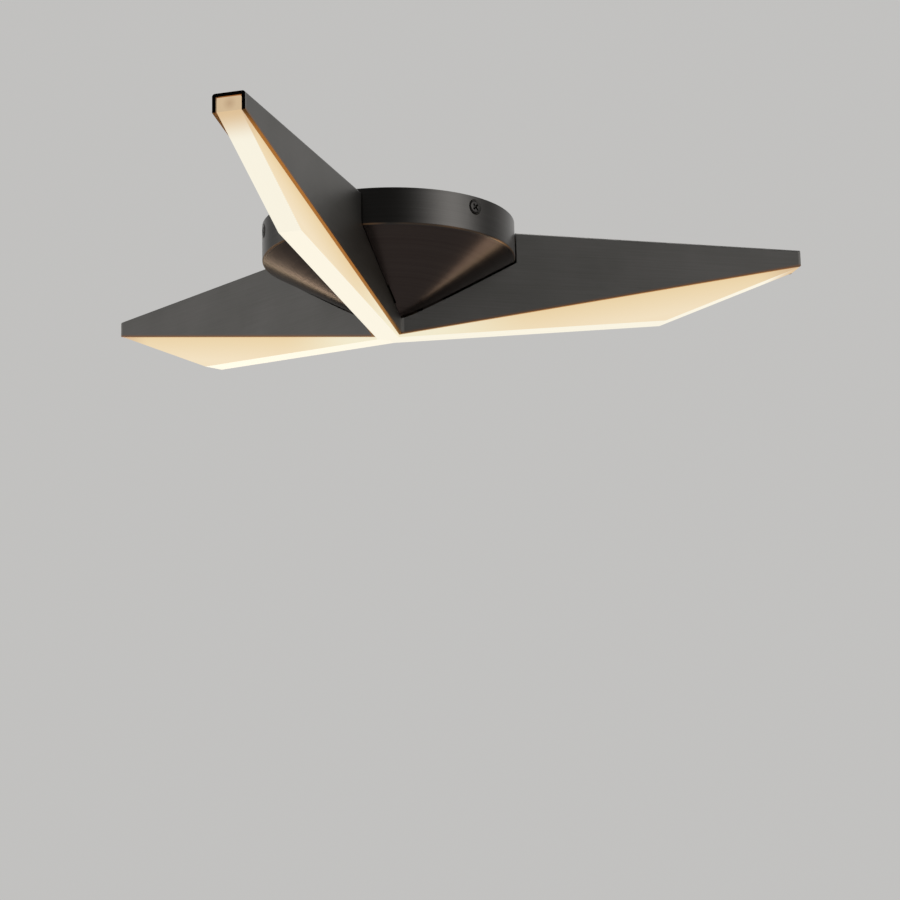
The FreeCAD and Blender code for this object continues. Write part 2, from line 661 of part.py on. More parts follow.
def make_tray_fasteners():
    """Screws and nuts that hold the trays' feet under the hub plate."""
    clamped = HUB_SHEET + TRAY_SHEET
    length = clamped + TRAY_NUT_HEIGHT + SCREW_END
    screw = pan_screw(TRAY_SCREW_DIAMETER, TRAY_SCREW_HEAD, TRAY_SCREW_HEAD_HEIGHT, length)
    nut = hex_nut(TRAY_SCREW_DIAMETER, TRAY_NUT_WIDTH, TRAY_NUT_HEIGHT)
    screws = round_the_arms(placed(screw, TRAY_SCREW_REACH, 0, HUB_TOP))
    nuts = round_the_arms(placed(nut, TRAY_SCREW_REACH, 0, HUB_TOP - clamped))
    return screws, nuts


def make_tray_rivets():
    """Domed rivets through the channels' tops and the trays' ends."""
    reach = rivet_reach()
    grip = ARM_SHEET + TRAY_SHEET
    rivet = pan_screw(RIVET_DIAMETER, RIVET_HEAD, RIVET_HEAD_HEIGHT, grip)
    tail = post(RIVET_HEAD / 2, -grip - RIVET_HEAD_HEIGHT, -grip)
    tilt = math.degrees(math.atan((top_at(ARM_REACH) - top_at(0)) / ARM_REACH))
    rivet = rivet.fuse(tail).removeSplitter()
    rivet.rotate(Vector(0, 0, 0), Vector(0, 1, 0), -tilt)
    return round_the_arms(placed(rivet, reach, 0, top_at(reach)))


def make_driver_case():
    """Moulded driver housing with an ear at each end."""
    half = DRIVER_WIDTH / 2
    body = block(
        (DRIVER_SHIFT - half, -DRIVER_END, DRIVER_BASE),
        (DRIVER_SHIFT + half, DRIVER_END, DRIVER_BASE + DRIVER_HEIGHT),
    )
    uprights = [edge for edge in body.Edges if edge.BoundBox.ZLength > DRIVER_HEIGHT / 2]
    body = body.makeFillet(DRIVER_CORNER_RADIUS, uprights)
    ears = block(
        (DRIVER_SHIFT - DRIVER_EAR_WIDTH / 2, -DRIVER_END - DRIVER_EAR_LENGTH, DRIVER_BASE),
        (DRIVER_SHIFT + DRIVER_EAR_WIDTH / 2, DRIVER_END + DRIVER_EAR_LENGTH, DRIVER_BASE + DRIVER_EAR_SHEET),
    )
    holes = []
    for side in (-1, 1):
        place = (DRIVER_SHIFT, side * DRIVER_SCREW_SIDE)
        holes.append(post(TRAY_SCREW_DIAMETER / 2 + HOLE_GAP, DRIVER_BASE, 0, place))
    return body.fuse(ears).cut(holes).removeSplitter()


def make_driver_lid():
    """Snap-on lid of the driver housing."""
    half = DRIVER_WIDTH / 2 - LID_INSET
    end = DRIVER_END - LID_INSET
    base = DRIVER_BASE + DRIVER_HEIGHT
    lid = block(
        (DRIVER_SHIFT - half, -end, base), (DRIVER_SHIFT + half, end, base + DRIVER_LID)
    )
    uprights = [edge for edge in lid.Edges if edge.BoundBox.ZLength > DRIVER_LID / 2]
    lid = lid.makeFillet(DRIVER_CORNER_RADIUS - LID_INSET, uprights)
    rim = [edge for edge in lid.Edges if edge.BoundBox.ZMin > base + DRIVER_LID / 2]
    return lid.makeChamfer(LID_INSET, rim)


def pole_places():
    """Positions of a terminal's poles across the driver."""
    middle = (POLE_COUNT - 1) / 2
    return [DRIVER_SHIFT + (index - middle) * POLE_PITCH for index in range(POLE_COUNT)]


def make_driver_terminal():
    """Terminal block on the driver's +Y end, with a mouth for each wire."""
    low = DRIVER_BASE + TERMINAL_LEVEL
    half = TERMINAL_WIDTH / 2
    body = block(
        (DRIVER_SHIFT - half, DRIVER_END, low),
        (DRIVER_SHIFT + half, DRIVER_END + TERMINAL_LENGTH, low + TERMINAL_HEIGHT),
    )
    mouths = []
    face = DRIVER_END + TERMINAL_LENGTH
    for place in pole_places():
        start = Vector(place, face - POLE_MOUTH_DEPTH, low + TERMINAL_HEIGHT / 2)
        mouths.append(Part.makeCylinder(POLE_MOUTH / 2, POLE_MOUTH_DEPTH, start, Vector(0, 1, 0)))
    return body.cut(mouths)


def make_driver_fasteners():
    """Spacers under the driver's ears, and the screws that go down through them into the hub plate."""
    length = DRIVER_EAR_SHEET + SPACER_HEIGHT + HUB_SHEET
    screw = pan_screw(TRAY_SCREW_DIAMETER, TRAY_SCREW_HEAD, TRAY_SCREW_HEAD_HEIGHT, length)
    spacer = post(SPACER_DIAMETER / 2, HUB_TOP, DRIVER_BASE)
    spacer = spacer.cut(post(TRAY_SCREW_DIAMETER / 2 + HOLE_GAP, HUB_TOP, DRIVER_BASE))
    screws = []
    spacers = []
    for side in (-1, 1):
        place = side * DRIVER_SCREW_SIDE
        screws.append(placed(screw, DRIVER_SHIFT, place, DRIVER_BASE + DRIVER_EAR_SHEET))
        spacers.append(placed(spacer, DRIVER_SHIFT, place, 0))
    return screws, spacers


def make_lead(route):
    """Faceted lead along straight runs that are joined by the widest arcs the runs allow."""
    points = [Vector(*point) for point in route]
    edges = []
    radii = []
    start = points[0]
    for before, corner, after in zip(points, points[1:], points[2:]):
        setback = LEAD_ARC_SHARE * min((before - corner).Length, (after - corner).Length)
        radius = setback / math.tan(half_turn(before, corner, after))
        arc_start, middle, arc_end = corner_arc(before, corner, after, radius)
        edges.append(Part.LineSegment(start, arc_start).toShape())
        edges.append(Part.Arc(arc_start, middle, arc_end).toShape())
        radii.append(round(radius, 1))
        start = arc_end
    edges.append(Part.LineSegment(start, points[-1]).toShape())
    path = Part.Wire(edges)
    corners = []
    for index in range(LEAD_SIDES):
        angle = 2 * math.pi * index / LEAD_SIDES
        corners.append(Vector(math.cos(angle), math.sin(angle), 0) * (LEAD_DIAMETER / 2))
    section = Part.makePolygon(corners + corners[:1])
    section.Placement = FreeCAD.Placement(points[0], FreeCAD.Rotation(Vector(0, 0, 1), points[1] - points[0]))
    tube = path.makePipeShell([section], True, False)
    share = tube.Volume / (path.Length * Part.Face(section).Area)
    print("lead", round(path.Length, 1), "mm, radii", radii, "volume share", round(share, 4))
    return tube


def lead_routes():
    """Routes of the three leads, from the driver's poles down to the LED boards, in arm order."""
    exit_side = -DRIVER_END - TERMINAL_LENGTH
    exit_height = DRIVER_BASE + TERMINAL_LEVEL + TERMINAL_HEIGHT / 2
    near, middle, far = pole_places()
    lead_top = edge_at(LEAD_HOLE_REACH) + TRAY_LEVEL + LEAD_END_GAP
    ends = []
    for index in range(ARM_COUNT):
        angle = math.radians(index * ARM_STEP)
        ends.append((LEAD_HOLE_REACH * math.cos(angle), LEAD_HOLE_REACH * math.sin(angle)))
    right, left_far, left_near = ends
    level = exit_height + LEAD_RISE
    high = exit_height + LONG_LEAD_RISE
    return [
        [(far, exit_side, exit_height), (far, -57, exit_height), (28, -53, exit_height),
         (38, -32, level), (right[0], right[1], level), (right[0], right[1], lead_top)],
        [(middle, exit_side, exit_height), (middle, -58, exit_height), (-15, -58, high), (-32, -44, high),
         (-31, -15, high), (-26, 14, high), (left_far[0], left_far[1], high),
         (left_far[0], left_far[1], lead_top)],
        [(near, exit_side, exit_height), (near, -55, exit_height), (-19, -53, exit_height),
         (left_near[0], left_near[1], level), (left_near[0], left_near[1], lead_top)],
    ]


def make_driver_output():
    """Terminal block on the driver's -Y end, where the leads come out."""
    low = DRIVER_BASE + TERMINAL_LEVEL
    half = TERMINAL_WIDTH / 2
    return block(
        (DRIVER_SHIFT - half, -DRIVER_END - TERMINAL_LENGTH, low),
        (DRIVER_SHIFT + half, -DRIVER_END, low + TERMINAL_HEIGHT),
    )


def make_lead_grommet():
    """Rubber bush that lines a lead hole in the hub plate."""
    bore = LEAD_DIAMETER / 2 + GROMMET_GAP
    neck = GROMMET_HOLE / 2 - GROMMET_GAP
    flange = GROMMET_FLANGE / 2
    outline = [
        (bore, -HUB_LEVEL - GROMMET_LIP),
        (flange, -HUB_LEVEL - GROMMET_LIP),
        (flange, -HUB_LEVEL),
        (neck, -HUB_LEVEL),
        (neck, HUB_TOP),
        (flange, HUB_TOP),
        (flange, HUB_TOP + GROMMET_LIP),
        (bore, HUB_TOP + GROMMET_LIP),
    ]
    return placed(revolved(outline), LEAD_HOLE_REACH, 0, 0)


def numbered(name, shapes):
    """Nodes for repeated pieces, numbered from 1 in arm order."""
    return {f"{name}_{index + 1}": shape for index, shape in enumerate(shapes)}


def make_nodes():
    """Every piece of the light by node name; a list is a group of separate solids."""
    arm_screws, arm_nuts = make_arm_fasteners()
    tray_screws, tray_nuts = make_tray_fasteners()
    driver_screws, driver_spacers = make_driver_fasteners()
    led_rows = [[turned(led, index * ARM_STEP) for led in make_leds()] for index in range(ARM_COUNT)]
    nodes = {
        "mounting_bracket": make_mounting_bracket(),
        "ground_screw": make_ground_screw(),
        "canopy_shell": make_canopy_shell(),
        "hub_plate": make_hub_plate(),
        "arm_screws": arm_screws,
        "arm_nuts": arm_nuts,
        "tray_screws": tray_screws,
        "tray_nuts": tray_nuts,
        "tray_rivets": make_tray_rivets(),
        "driver_case": make_driver_case(),
        "driver_lid": make_driver_lid(),
        "driver_input": make_driver_terminal(),
        "driver_output": make_driver_output(),
        "driver_screws": driver_screws,
        "driver_spacers": driver_spacers,
        "lead_grommets": round_the_arms(make_lead_grommet()),
    }
    nodes.update(numbered("canopy_screw", round_the_arms(make_canopy_screw(), ARM_STEP / 2)))
    nodes.update(numbered("arm_channel", round_the_arms(make_arm_channel())))
    nodes.update(numbered("led_tray", round_the_arms(make_led_tray())))
    nodes.update(numbered("led_board", round_the_arms(make_led_board())))
    nodes.update(numbered("leds", led_rows))
    nodes.update(numbered("diffuser", round_the_arms(make_diffuser())))
    nodes.update(numbered("led_lead", [make_lead(route) for route in lead_routes()]))
    return nodes


os.makedirs("parts", exist_ok=True)
for node_name, node_shape in make_nodes().items():
    if isinstance(node_shape, list):
        node_shape = Part.makeCompound(node_shape)
    node_shape.exportStep(os.path.join("parts", node_name + ".step"))
    print(node_name, len(node_shape.Solids), round(node_shape.Volume, 1), node_shape.isValid())
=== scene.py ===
# %% [markdown]
# A flush mount ceiling light with three lit arms.
# The light is a round spun canopy, three folded metal arms and a lit acrylic blade in each arm.
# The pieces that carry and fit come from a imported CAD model, at their real size and place.
# This lesson gives them their finishes, swaps the plain fasteners and leads for detailed ones,
# and sets up a camera and a plain studio. Everything is in metres, and the ceiling is at height 0.

# %% Load the frame
import math

import bpy
from mathutils import Matrix, Vector


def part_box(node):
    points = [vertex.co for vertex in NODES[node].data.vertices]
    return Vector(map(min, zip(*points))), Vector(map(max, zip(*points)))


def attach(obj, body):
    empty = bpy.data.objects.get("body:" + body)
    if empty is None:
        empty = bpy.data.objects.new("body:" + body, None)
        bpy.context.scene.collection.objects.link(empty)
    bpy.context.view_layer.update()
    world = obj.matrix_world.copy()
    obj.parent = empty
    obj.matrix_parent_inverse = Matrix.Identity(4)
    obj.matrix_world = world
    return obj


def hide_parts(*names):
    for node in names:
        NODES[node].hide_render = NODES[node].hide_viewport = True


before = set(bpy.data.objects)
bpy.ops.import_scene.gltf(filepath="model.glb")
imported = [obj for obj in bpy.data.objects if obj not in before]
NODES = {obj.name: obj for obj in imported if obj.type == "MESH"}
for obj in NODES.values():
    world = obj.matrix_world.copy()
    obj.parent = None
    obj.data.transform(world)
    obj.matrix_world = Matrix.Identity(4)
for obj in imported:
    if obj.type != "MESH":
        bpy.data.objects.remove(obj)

MM = 0.001
ARMS = (1, 2, 3)
ARM_STEP = math.tau / len(ARMS)
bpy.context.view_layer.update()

# %% [markdown]
# The camera stands a metre and a half in front of the light and half a metre under the ceiling, and
# looks up at it through a long lens. Its place was found by matching edges of the light, so it is
# written in the picture's own axes: right, away and up. One turn about the upright axis leads from
# there to the part's axes, where arm 1 runs along +X.

# %% Camera
PICTURE_TURN = -0.2080       # angles are in radians
CAMERA_BACK = 1.50705
CAMERA_DROP = 0.47736
CAMERA_YAW = -0.0225
CAMERA_PITCH = 0.2223
CAMERA_ROLL = -0.0214
CAMERA_LENS = 105.77         # millimetres, as the sensor is
SENSOR_WIDTH = 36.0
picture_axes = Matrix.Rotation(PICTURE_TURN, 4, "Z")

forward = Vector((
    -math.sin(CAMERA_YAW) * math.cos(CAMERA_PITCH),
    math.cos(CAMERA_YAW) * math.cos(CAMERA_PITCH),
    math.sin(CAMERA_PITCH),
))
level = Vector((math.cos(CAMERA_YAW), math.sin(CAMERA_YAW), 0))
upright = level.cross(forward)
right = math.cos(CAMERA_ROLL) * level + math.sin(CAMERA_ROLL) * upright
above = math.cos(CAMERA_ROLL) * upright - math.sin(CAMERA_ROLL) * level
facing = Matrix((right, above, -forward)).transposed().to_4x4()

camera_data = bpy.data.cameras.new("camera")
camera_data.lens = CAMERA_LENS
camera_data.sensor_width = SENSOR_WIDTH
camera = bpy.data.objects.new("camera", camera_data)
camera.matrix_world = picture_axes @ Matrix.Translation((0, -CAMERA_BACK, -CAMERA_DROP)) @ facing
bpy.context.scene.collection.objects.link(camera)
bpy.context.scene.camera = camera
bpy.context.scene.view_settings.view_transform = "Standard"
print("camera at", [round(value, 3) for value in camera.matrix_world.translation])

# %% [markdown]
# Node trees make the finishes, the fasteners and the studio. A single small function adds a node: its
# settings are attributes, and each input is a plain value, a socket to link from, or a list of sockets.
# Colours are written as sRGB hex codes, the way a colour picker shows them, and another function makes
# them linear.


# %% Node and colour helpers
def wire(tree, node, inputs):
    """Sets a node's inputs: sockets are linked, and anything else becomes the input's value."""
    for key, value in inputs.items():
        sources = value if isinstance(value, list) else [value]
        if isinstance(sources[0], bpy.types.NodeSocket):
            for source in sources:
                tree.links.new(source, node.inputs[key])
        else:
            node.inputs[key].default_value = value
    return node


def add(tree, kind, inputs=None, **settings):
    """Adds a node with its settings and its inputs."""
    node = tree.nodes.new(kind)
    for name, value in settings.items():
        setattr(node, name, value)
    return wire(tree, node, inputs or {})


def linear(code):
    """Linear colour with full opacity, from an sRGB hex code."""
    channels = [int(code[start:start + 2], 16) / 255 for start in (1, 3, 5)]
    return [c / 12.92 if c <= 0.04045 else ((c + 0.055) / 1.055) ** 2.4 for c in channels] + [1.0]


def new_finish(name):
    """A material with an empty Principled shader: the material, its tree and the shader."""
    material = bpy.data.materials.new(name)
    material.use_nodes = True
    tree = material.node_tree
    tree.nodes.clear()
    shader = add(tree, "ShaderNodeBsdfPrincipled")
    add(tree, "ShaderNodeOutputMaterial", {"Surface": shader.outputs[0]})
    return material, tree, shader


def dress(names, material):
    """Gives CAD nodes a finish."""
    for name in names:
        NODES[name].data.materials.clear()
        NODES[name].data.materials.append(material)


print("the middle grey #808080 is", round(linear("#808080")[0], 3), "in linear light")

# %% [markdown]
# The studio has a pale matt floor, far below the light. It is not part of the object.
# One large square is enough for it.

# %% Floor
FLOOR_HEIGHT = -2.4
FLOOR_SIZE = 60.0
half = FLOOR_SIZE / 2
floor_mesh = bpy.data.meshes.new("floor")
floor_mesh.from_pydata(
    [(x, y, FLOOR_HEIGHT) for x, y in ((-half, -half), (half, -half), (half, half), (-half, half))],
    [], [(0, 1, 2, 3)],
)
floor = bpy.data.objects.new("floor", floor_mesh)
bpy.context.scene.collection.objects.link(floor)
floor_finish, tree, shader = new_finish("matt_floor_paint")
wire(tree, shader, {"Base Color": linear("#b4b3b1"), "Roughness": 0.9, "Specular IOR Level": 0.1})
floor_mesh.materials.append(floor_finish)
print("floor at", FLOOR_HEIGHT)

# %% [markdown]
# Round the light is a plain grey surround. Cards could stand there, but nodes in the world's background
# have softer edges. The surround is dark on the camera's side and overhead, light behind the object and
# to its left, as in a studio with a lit backdrop, and it has one feathered patch of light at the right.
# Brushed metal has little colour of its own and shows what it mirrors, so this is what gives the rim its
# dark front and its soft light band. A feathered dark flag behind at the left, outside the picture, does
# the same for the left end of the rim.

# %% Surround
BACKDROP_LEVEL = 0.54
FRONT_LEVEL = 0.04
BACKDROP_BEARING = math.radians(120)     # from the picture's right, turning away from the camera
BACKDROP_EDGE = 0.55         # cosine of the angle from the backdrop's middle at which it starts to fade
FRONT_EDGE = -0.6            # and of the angle at which it has faded to the front's level
OVERHEAD_SHARE = 0.25        # what is left of the surround straight up
OVERHEAD_START = 0.45        # cosines of the angle from straight up
OVERHEAD_FULL = 0.85
PATCH_LEVEL = 1.4
PATCH_BEARING = math.radians(-30)
PATCH_RISE = math.radians(18)
PATCH_FOCUS = 12.0
FLAG_SHARE = 0.65            # of the surround that the dark flag takes away
FLAG_BEARING = math.radians(137)
FLAG_RISE = math.radians(18)
FLAG_FOCUS = 22.0
world = bpy.data.worlds.new("studio_surround")
world.use_nodes = True
surround = world.node_tree


def toward(bearing, rise):
    """Cosine of the angle to a direction: a bearing from the picture's right and a rise from level."""
    way = picture_axes @ Vector((
        math.cos(rise) * math.cos(bearing), math.cos(rise) * math.sin(bearing), math.sin(rise),
    ))
    direction = add(surround, "ShaderNodeTexCoord").outputs["Generated"]
    return add(surround, "ShaderNodeVectorMath", {
        0: direction, 1: way,
    }, operation="DOT_PRODUCT").outputs["Value"]


def feathered(bearing, rise, focus):
    """Round patch that fades out from 1 at its middle; focus is the power of the cosine that feathers it."""
    patch = add(surround, "ShaderNodeMath", {
        0: toward(bearing, rise), 1: 0.0,
    }, operation="MAXIMUM").outputs[0]
    return add(surround, "ShaderNodeMath", {0: patch, 1: focus}, operation="POWER").outputs[0]


backdrop = add(surround, "ShaderNodeMapRange", {
    "Value": toward(BACKDROP_BEARING, 0.0), "From Min": FRONT_EDGE, "From Max": BACKDROP_EDGE,
    "To Min": FRONT_LEVEL, "To Max": BACKDROP_LEVEL,
}, interpolation_type="SMOOTHSTEP").outputs[0]
overhead = add(surround, "ShaderNodeMapRange", {
    "Value": toward(0.0, math.pi / 2), "From Min": OVERHEAD_START, "From Max": OVERHEAD_FULL,
    "To Min": 1.0, "To Max": OVERHEAD_SHARE,
}, interpolation_type="SMOOTHSTEP").outputs[0]
unflagged = add(surround, "ShaderNodeMath", {
    0: feathered(FLAG_BEARING, FLAG_RISE, FLAG_FOCUS), 1: -FLAG_SHARE, 2: 1.0,
}, operation="MULTIPLY_ADD").outputs[0]
for share in (overhead, unflagged):
    backdrop = add(surround, "ShaderNodeMath", {0: backdrop, 1: share}, operation="MULTIPLY").outputs[0]
strength = add(surround, "ShaderNodeMath", {
    0: feathered(PATCH_BEARING, PATCH_RISE, PATCH_FOCUS), 1: PATCH_LEVEL, 2: backdrop,
}, operation="MULTIPLY_ADD").outputs[0]
wire(surround, surround.nodes["Background"], {"Color": linear("#fffefc"), "Strength": strength})
bpy.context.scene.world = world
print("a surround from", FRONT_LEVEL, "to", BACKDROP_LEVEL)

# %% [markdown]
# Four soft boxes help: a weak fill low at the left, one high above that only the upper sides see, and two
# small warm ones low behind the light, each of which draws a streak along the slope of the spun cone. The
# level is plain and even, and just low enough for the sides of the lit blades to outshine the backdrop.

# %% Lamps
WHITE = "#ffffff"
WARM_WHITE = "#ffe4c4"


def softbox(name, bearing, rise, distance, size, power, colour=WHITE):
    """Square area lamp that faces the light, at angles in degrees from the picture's right and level."""
    data = bpy.data.lights.new(name, "AREA")
    data.shape = "SQUARE"
    data.size = size
    data.energy = power
    data.color = linear(colour)[:3]
    lamp = bpy.data.objects.new(name, data)
    turn = Matrix.Rotation(math.radians(bearing), 4, "Z") @ Matrix.Rotation(math.radians(-rise), 4, "Y")
    lamp.location = picture_axes @ turn @ Vector((distance, 0, 0))
    lamp.rotation_euler = (-lamp.location).to_track_quat("-Z", "Y").to_euler()
    lamp.visible_camera = False
    bpy.context.scene.collection.objects.link(lamp)
    return lamp


lamps = [
    softbox("fill_softbox", bearing=-162, rise=-30, distance=1.6, size=0.9, power=2.0),
    softbox("top_softbox", bearing=95, rise=75, distance=1.8, size=1.4, power=18.0),
    softbox("right_softbox", bearing=45, rise=-35, distance=1.6, size=0.35, power=0.7, colour=WARM_WHITE),
    softbox("back_softbox", bearing=104, rise=-20, distance=1.6, size=0.4, power=2.4, colour=WARM_WHITE),
]
print(len(lamps), "soft boxes")

# %% [markdown]
# The canopy is spun from sheet steel, brushed on the lathe, plated dark bronze and lacquered. Brush
# lines run round it, so a highlight is drawn out along the slope of the cone and up the rim. The cone's
# plating is browner, and its colour is a little darker too, as painted shade on the side that faces down.
# The plating is rubbed through to copper along the fold of the rim, and the copper line is also a
# painted highlight on the fold. The seats of the screws are bright steel, bare metal that is also a
# painted highlight in each seat. An image of the lines would need a UV map, which a CAD mesh lacks, so
# noise over the distance from the axis draws them, and the shader is anisotropic.

# %% Spun dark bronze
RIM_HEIGHT = 21.2 * MM
FOLD_HEIGHT = 1.0 * MM       # over which the cone's tone takes over from the rim's
FOLD_INSET = 0.4 * MM        # of the fold's copper line from the canopy's outside
FOLD_LINE_HALF = 0.75 * MM        # half width of the copper line on the fold
FOLD_LINE_PATCH = 40 * MM         # length of the stretches where the copper line is stronger or weaker
RIM_SCREW_DEPTH = 6.3 * MM   # of the screws in the rim, under the ceiling
SEAT_DIAMETER = 9.4 * MM
SEAT_EDGE = 0.1 * MM         # depth in the rim at which a seat's bright steel starts
SPUN_LINE = 1.2 * MM         # real lines are about 0.2 mm apart, which is too fine to show
LINE_WANDER = 0.02           # by which the lines stray from true circles
CONE_POLISH = 0.055          # by which the cone is less rough than the rim
TEXTURE_DEPTH = 0.05 * MM    # of scratches and grain, in every finish that has them
CANOPY_RADIUS = (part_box("canopy_shell")[1].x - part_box("canopy_shell")[0].x) / 2


def off_axis(tree, place):
    """The level part of a place, and its distance from the upright axis."""
    flat = add(tree, "ShaderNodeVectorMath", {0: place, 1: (1, 1, 0)}, operation="MULTIPLY").outputs[0]
    return flat, add(tree, "ShaderNodeVectorMath", {0: flat}, operation="LENGTH").outputs["Value"]


def spun_bronze():
    """Brushed and plated canopy sheet: a soft metal that mirrors its surround along the brush."""
    material, tree, shader = new_finish("spun_dark_bronze")
    place = add(tree, "ShaderNodeTexCoord").outputs["Object"]
    height = add(tree, "ShaderNodeSeparateXYZ", {0: place}).outputs["Z"]
    flat, radius = off_axis(tree, place)
    outward = add(tree, "ShaderNodeVectorMath", {0: flat}, operation="NORMALIZE").outputs[0]
    around = add(tree, "ShaderNodeVectorMath", {
        0: (0, 0, 1), 1: outward,
    }, operation="CROSS_PRODUCT").outputs[0]

    section = add(tree, "ShaderNodeCombineXYZ", {0: radius, 1: height}).outputs[0]
    stray = add(tree, "ShaderNodeVectorMath", {0: place, "Scale": LINE_WANDER}, operation="SCALE").outputs[0]
    lines = add(tree, "ShaderNodeVectorMath", {0: section, 1: stray}, operation="ADD").outputs[0]
    lines = add(tree, "ShaderNodeTexNoise", {
        "Vector": lines, "Scale": 1 / SPUN_LINE, "Detail": 3.0,
    }).outputs[0]
    cone = add(tree, "ShaderNodeMapRange", {
        "Value": height, "From Min": -RIM_HEIGHT, "From Max": -RIM_HEIGHT - FOLD_HEIGHT,
    }).outputs[0]
    # The cone's tones are browner, from its plating, and a little darker, as painted shade on the side that
    # faces down.
    dull, bright = [
        add(tree, "ShaderNodeMix", {
            "Factor": cone, 6: linear(on_rim), 7: linear(on_cone),
        }, data_type="RGBA").outputs[2]
        for on_rim, on_cone in (("#676563", "#675a57"), ("#6e6c6a", "#706460"))
    ]
    tone = add(tree, "ShaderNodeMapRange", {"Value": lines, "From Min": 0.3, "From Max": 0.7}).outputs[0]
    colour = add(tree, "ShaderNodeMix", {"Factor": tone, 6: dull, 7: bright}, data_type="RGBA").outputs[2]

    # The copper line along the fold is rubbed plating and a painted highlight on the fold.
    off_fold = add(tree, "ShaderNodeVectorMath", {
        0: section, 1: (CANOPY_RADIUS - FOLD_INSET, -RIM_HEIGHT, 0),
    }, operation="DISTANCE").outputs["Value"]
    copper_fold = add(tree, "ShaderNodeMapRange", {
        "Value": off_fold, "From Min": FOLD_LINE_HALF, "From Max": 0.4 * FOLD_LINE_HALF,
    }, interpolation_type="SMOOTHSTEP").outputs[0]
    patches = add(tree, "ShaderNodeTexNoise", {
        "Vector": place, "Scale": 1 / FOLD_LINE_PATCH, "Detail": 2.0,
    }).outputs[0]
    patches = add(tree, "ShaderNodeMapRange", {
        "Value": patches, "From Min": 0.3, "From Max": 0.6,
    }).outputs[0]
    copper_fold = add(tree, "ShaderNodeMath", {0: copper_fold, 1: patches}, operation="MULTIPLY").outputs[0]
    # The bright steel in the seats is bare metal and a painted highlight in each seat.
    sunk = add(tree, "ShaderNodeMapRange", {
        "Value": radius,
        "From Min": CANOPY_RADIUS - 0.5 * SEAT_EDGE, "From Max": CANOPY_RADIUS - 1.5 * SEAT_EDGE,
    }).outputs[0]
    seat = add(tree, "ShaderNodeMath", {
        0: height, 1: -RIM_SCREW_DEPTH, 2: SEAT_DIAMETER / 2,
    }, operation="COMPARE").outputs[0]
    seat = add(tree, "ShaderNodeMath", {0: seat, 1: sunk}, operation="MULTIPLY").outputs[0]
    for share, code in ((copper_fold, "#d6a981"), (seat, "#b3b0ab")):
        colour = add(tree, "ShaderNodeMix", {
            "Factor": share, 6: colour, 7: linear(code),
        }, data_type="RGBA").outputs[2]

    roughness = add(tree, "ShaderNodeMapRange", {
        "Value": lines, "To Min": 0.285, "To Max": 0.335,
    }).outputs[0]
    roughness = add(tree, "ShaderNodeMath", {
        0: cone, 1: -CONE_POLISH, 2: roughness,
    }, operation="MULTIPLY_ADD").outputs[0]
    bump = add(tree, "ShaderNodeBump", {"Height": lines, "Strength": 0.03, "Distance": TEXTURE_DEPTH})
    wire(tree, shader, {
        "Base Color": colour, "Metallic": 1.0, "Roughness": roughness, "Anisotropic": 0.5,
        "Anisotropic Rotation": 0.25, "Tangent": around, "Normal": bump.outputs[0],
    })
    return material


dress(["canopy_shell"], spun_bronze())
print("canopy radius in mm:", round(CANOPY_RADIUS / MM, 1))

# %% [markdown]
# Each finish on the arms is drawn in the arm's own axes: along it, across it and up. A Mapping node turns
# a point and its normal back to arm 1, so one function serves all three arms. Other functions measure
# from the two lines that bound an arm's walls: the lower edge, and the trim under the canopy's cone.

# %% Axes and edges of an arm
ARM_HALF = 9.0 * MM
HUB_DEPTH = 68.9 * MM
TIP_DEPTH = 14.6 * MM
ARM_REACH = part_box("arm_channel_1")[1].x
EDGE_SLOPE = (HUB_DEPTH - TIP_DEPTH) / ARM_REACH
CONE_DEPTH = 42.3 * MM
CONE_GAP = 0.9 * MM          # between the cone and the arms under it


def arm_axes(tree, arm):
    """A point and a normal in an arm's own axes: along it, across it and up."""
    source = add(tree, "ShaderNodeTexCoord").outputs
    turn = (0, 0, -ARM_STEP * (arm - 1))
    place = add(tree, "ShaderNodeMapping", {"Vector": source["Object"], "Rotation": turn}).outputs[0]
    normal = add(tree, "ShaderNodeMapping", {"Vector": source["Normal"], "Rotation": turn}).outputs[0]
    return place, normal


def above_edge(tree, place):
    """Height over the line of an arm's lower edges."""
    parts = add(tree, "ShaderNodeSeparateXYZ", {0: place}).outputs
    edge = add(tree, "ShaderNodeMath", {
        0: parts["X"], 1: EDGE_SLOPE, 2: -HUB_DEPTH,
    }, operation="MULTIPLY_ADD").outputs[0]
    return add(tree, "ShaderNodeMath", {0: parts["Z"], 1: edge}, operation="SUBTRACT").outputs[0]


def above_trim(tree, place):
    """Height over the trim under the cone; past the canopy, the line is lifted clear of the arm."""
    reach = off_axis(tree, place)[1]
    trim = add(tree, "ShaderNodeMapRange", {
        "Value": reach, "From Min": 0.0, "From Max": CANOPY_RADIUS,
        "To Min": -RIM_HEIGHT - CONE_DEPTH - CONE_GAP, "To Max": -RIM_HEIGHT - CONE_GAP,
    }).outputs[0]
    past = add(tree, "ShaderNodeMath", {0: reach, 1: CANOPY_RADIUS}, operation="GREATER_THAN").outputs[0]
    trim = add(tree, "ShaderNodeMath", {
        0: past, 1: 2 * RIM_HEIGHT, 2: trim,
    }, operation="MULTIPLY_ADD").outputs[0]
    height = add(tree, "ShaderNodeSeparateXYZ", {0: place}).outputs["Z"]
    return add(tree, "ShaderNodeMath", {0: height, 1: trim}, operation="SUBTRACT").outputs[0]


def drawn_lines(tree, place, line, length, detail):
    """Fine lines along an arm: noise that is drawn out lengthwise."""
    drawn = add(tree, "ShaderNodeVectorMath", {
        0: place, 1: (1 / length, 1 / line, 1 / line),
    }, operation="MULTIPLY").outputs[0]
    return add(tree, "ShaderNodeTexNoise", {"Vector": drawn, "Scale": 1.0, "Detail": detail}).outputs[0]


print("arm reach in mm:", round(ARM_REACH / MM, 1))
